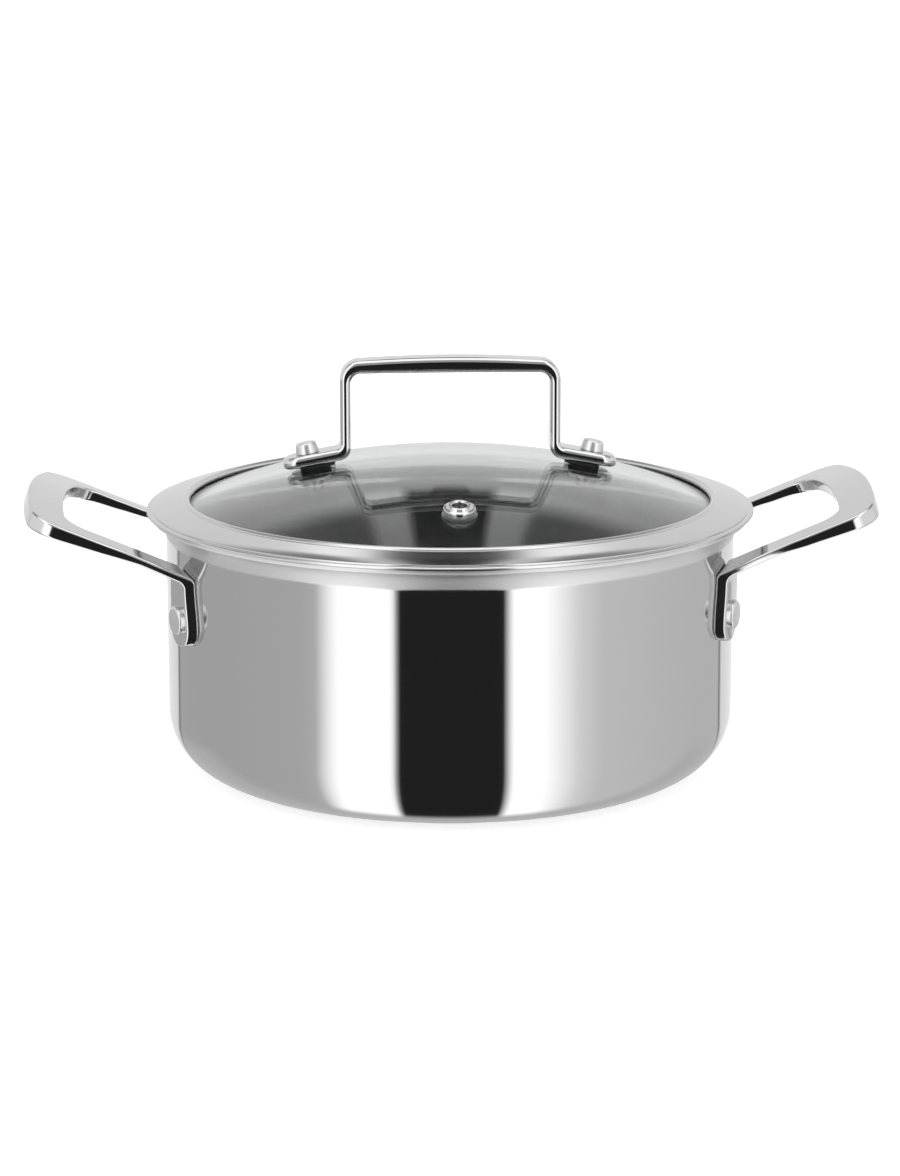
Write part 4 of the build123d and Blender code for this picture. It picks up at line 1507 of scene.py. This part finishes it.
@dataclass(frozen=True)
class Studio:
    """Camera, floor and soft light.

    The walls' light is in stops of an angle in degrees and a level. The angle is that of the
    upright surface which mirrors the place to the camera, so that the strips run straight down
    the pot's wall and round its base corner. The light of the eaves and the roof is in stops of
    a place across, from -1 to 1, and a level. The other pairs are the places between which one
    zone of light gives way to the next, in height from 0 below to 1 above, or in depth from 0
    in front to 1 behind.
    """

    azimuth: float = radians(-2.9)
    pitch: float = radians(12.66)
    distance: float = 1200.0
    aim_height: float = 62.57
    lens: float = 103.52
    sensor: float = 36.0
    sight: float = 100.0
    floor_half: float = 6000.0
    floor_level: float = 0.8
    floor_glow: float = 0.6
    front: Stops = (
        (-48.6, 1.32), (-45, 1.6), (-23, 1.6), (-20.4, 0.02),
        (21.2, 0.02), (25, 1.6), (38, 1.6), (43.3, 1.38),
    )
    low_left: Stops = ((-180, 0.95), (-145, 0.9), (-143, 0.12), (-141, 0.5), (-62, 0.56), (-55, 0.62))
    low_right: Stops = ((53, 0.95), (63, 0.77), (139, 0.62), (141, 0.12), (143, 0.9), (180, 0.95))
    high_left: Stops = ((-180, 0.95), (-56, 1.0))
    high_right: Stops = ((53, 1.0), (180, 0.95))
    crown_level: float = 0.42
    eaves: Stops = (
        (-1, 0.8), (-0.3, 0.8), (-0.12, 1.0), (-0.11, 1.5), (-0.064, 1.5), (-0.05, 0.02),
        (0.05, 0.02), (0.062, 1.5), (0.11, 1.5), (0.12, 1.0), (0.3, 0.8), (1, 0.8),
    )
    roof: Stops = (
        (-1, 0.5), (-0.25, 0.4), (-0.16, 0.25), (-0.12, 0.25), (-0.1, 0.85), (-0.064, 0.85), (-0.05, 0.02),
        (0.05, 0.02), (0.062, 0.85), (0.1, 0.85), (0.12, 0.25), (0.16, 0.25), (0.25, 0.4), (1, 0.5),
    )
    screen_level: float = 0.85
    zenith_level: float = 1.5
    table_level: float = 0.6
    horizon: tuple[float, float] = (0.45, 0.51)
    crown_edge: tuple[float, float] = (0.58, 0.62)
    screen_foot: tuple[float, float] = (0.43, 0.46)
    screen_head: tuple[float, float] = (0.735, 0.765)
    screen_depth: tuple[float, float] = (0.65, 0.75)
    eaves_depth: tuple[float, float] = (0.42, 0.52)
    roof_edge: tuple[float, float] = (0.765, 0.81)
    zenith_edge: tuple[float, float] = (0.925, 0.945)
    table_edge: tuple[float, float] = (0.27, 0.35)
    table_depth: tuple[float, float] = (0.66, 0.76)

    def camera(self) -> None:
        """Put the camera where the photograph was taken from."""
        data = bpy.data.cameras.new("camera")
        data.lens = self.lens
        data.sensor_width = self.sensor
        data.clip_end = self.sight
        camera = bpy.data.objects.new("camera", data)
        level = cos(self.pitch)
        back = Vector((sin(self.azimuth) * level, -cos(self.azimuth) * level, sin(self.pitch)))
        camera.location = (Vector((0, 0, self.aim_height)) + back * self.distance) * MM
        camera.rotation_euler = (-back).to_track_quat("-Z", "Y").to_euler()
        bpy.context.scene.collection.objects.link(camera)
        bpy.context.scene.camera = camera

    def floor_material(self) -> bpy.types.Material:
        """White to the camera, with the object's soft shadow, and clear to reflections.

        Returns:
            The material.
        """
        material = bpy.data.materials.new("floor_white")
        material.use_nodes = True
        nodes = NodeTree(material.node_tree)
        path = nodes.node("ShaderNodeLightPath")
        matt = nodes.node("ShaderNodeBsdfDiffuse")
        matt.inputs["Color"].default_value = (self.floor_level, self.floor_level, self.floor_level, 1)
        glow = nodes.node("ShaderNodeEmission")
        seen = nodes.math("MULTIPLY", path.outputs["Is Camera Ray"], self.floor_glow)
        nodes.link(seen, glow.inputs["Strength"])
        both = nodes.node("ShaderNodeAddShader")
        nodes.link(matt.outputs["BSDF"], both.inputs[0])
        nodes.link(glow.outputs["Emission"], both.inputs[1])
        clear = nodes.node("ShaderNodeBsdfTransparent")
        mix = nodes.node("ShaderNodeMixShader")
        nodes.link(path.outputs["Is Glossy Ray"], mix.inputs["Fac"])
        nodes.link(both.outputs["Shader"], mix.inputs[1])
        nodes.link(clear.outputs["BSDF"], mix.inputs[2])
        output = nodes.node("ShaderNodeOutputMaterial")
        nodes.link(mix.outputs["Shader"], output.inputs["Surface"])
        return material

    def floor(self) -> None:
        """Lay a plain floor."""
        mesh = bmesh.new()
        bmesh.ops.create_grid(mesh, x_segments=1, y_segments=1, size=self.floor_half * MM)
        data = bpy.data.meshes.new("floor")
        mesh.to_mesh(data)
        mesh.free()
        data.materials.append(self.floor_material())
        floor = bpy.data.objects.new("floor", data)
        bpy.context.scene.collection.objects.link(floor)

    def wall_light(
        self, nodes: NodeTree, around: bpy.types.NodeSocket, height: bpy.types.NodeSocket
    ) -> bpy.types.NodeSocket:
        """Pale walls all round, with two bright strips and a dark gap in front.

        Args:
            nodes: The world's tree.
            around: The mirroring surface's angle, from 0 to 1.
            height: The direction's height.

        Returns:
            The light's colour.
        """
        low = self.low_left + self.front + self.low_right
        high = self.high_left + self.front + self.high_right
        crown = tuple((angle, max(level, self.crown_level)) for angle, level in high)
        low_walls, high_walls, crown_walls = (
            nodes.ramp(around, tuple((angle / 360 + 0.5, level) for angle, level in stops))
            for stops in (low, high, crown)
        )
        walls = nodes.mix(nodes.rise(height, self.horizon), low_walls, high_walls)
        return nodes.mix(nodes.rise(height, self.crown_edge), walls, crown_walls)

    def roof_light(
        self, nodes: NodeTree, across: bpy.types.NodeSocket, height: bpy.types.NodeSocket
    ) -> bpy.types.NodeSocket:
        """Eaves and roof over the rear, with two strips beside a dark slit.

        Args:
            nodes: The world's tree.
            across: The direction's place across, from -1 to 1.
            height: The direction's height.

        Returns:
            The light's colour.
        """
        span = nodes.math("MULTIPLY_ADD", across, 0.5, 0.5)
        eaves, roof = (
            nodes.ramp(span, tuple((place / 2 + 0.5, level) for place, level in stops))
            for stops in (self.eaves, self.roof)
        )
        return nodes.mix(nodes.rise(height, self.roof_edge), eaves, roof)

    def light(self, nodes: NodeTree) -> bpy.types.NodeSocket:
        """The light from all directions: walls, rear screen, roof, zenith and rear table.

        Args:
            nodes: The world's tree.

        Returns:
            The light's colour.
        """
        turned = nodes.node("ShaderNodeMapping")
        turned.inputs["Rotation"].default_value = (0, 0, -self.azimuth)
        nodes.link(nodes.node("ShaderNodeTexCoord").outputs["Generated"], turned.inputs["Vector"])
        across, deep, up = nodes.parts(turned.outputs["Vector"])
        half_turn = nodes.math("ARCTAN2", across, nodes.math("SUBTRACT", cos(self.pitch), deep))
        around = nodes.math("MULTIPLY_ADD", half_turn, 1 / pi, 0.5)
        depth = nodes.math("MULTIPLY_ADD", deep, 0.5, 0.5)
        height = nodes.math("MULTIPLY_ADD", up, 0.5, 0.5)
        foot, head = self.screen_foot, self.screen_head
        upright = nodes.ramp(height, ((foot[0], 0.0), (foot[1], 1.0), (head[0], 1.0), (head[1], 0.0)))
        screen = nodes.math("MULTIPLY", nodes.rise(depth, self.screen_depth), upright)
        over = nodes.math("MULTIPLY", nodes.rise(depth, self.eaves_depth), nodes.rise(height, head))
        below = nodes.ramp(height, ((self.table_edge[0], 1.0), (self.table_edge[1], 0.0)))
        table = nodes.math("MULTIPLY", nodes.rise(depth, self.table_depth), below)
        colour = nodes.mix(screen, self.wall_light(nodes, around, height), nodes.grey(self.screen_level))
        colour = nodes.mix(over, colour, self.roof_light(nodes, across, height))
        colour = nodes.mix(nodes.rise(height, self.zenith_edge), colour, nodes.grey(self.zenith_level))
        return nodes.mix(table, colour, nodes.grey(self.table_level))

    def world(self) -> None:
        """Light the set, and show plain white behind it."""
        world = bpy.data.worlds.new("studio")
        bpy.context.scene.world = world
        world.use_nodes = True
        nodes = NodeTree(world.node_tree)
        shown = nodes.node("ShaderNodeBackground")
        shown.inputs["Color"].default_value = (1, 1, 1, 1)
        lit = nodes.node("ShaderNodeBackground")
        nodes.link(self.light(nodes), lit.inputs["Color"])
        path = nodes.node("ShaderNodeLightPath")
        mix = nodes.node("ShaderNodeMixShader")
        nodes.link(path.outputs["Is Camera Ray"], mix.inputs["Fac"])
        nodes.link(lit.outputs["Background"], mix.inputs[1])
        nodes.link(shown.outputs["Background"], mix.inputs[2])
        output = nodes.node("ShaderNodeOutputWorld")
        nodes.link(mix.outputs["Shader"], output.inputs["Surface"])

    def build(self) -> None:
        """Set up the studio."""
        bpy.context.scene.view_settings.view_transform = "Standard"
        self.camera()
        self.floor()
        self.world()


def main() -> None:
    """Build every sub-assembly in order."""
    logging.basicConfig(level=logging.INFO, format="%(name)s: %(message)s")
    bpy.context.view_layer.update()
    pot = Pot()
    pot.build()
    handles = [LoopHandle("right_handle", 1, pot), LoopHandle("left_handle", -1, pot)]
    for handle in handles:
        handle.build()
    HandleRivets(pot, handles[0]).build()
    lid = Lid(pot)
    lid.build()
    StrapHandle(lid).build()
    SteamVent(lid).build()
    Studio().build()


if __name__ == "__main__":
    main()
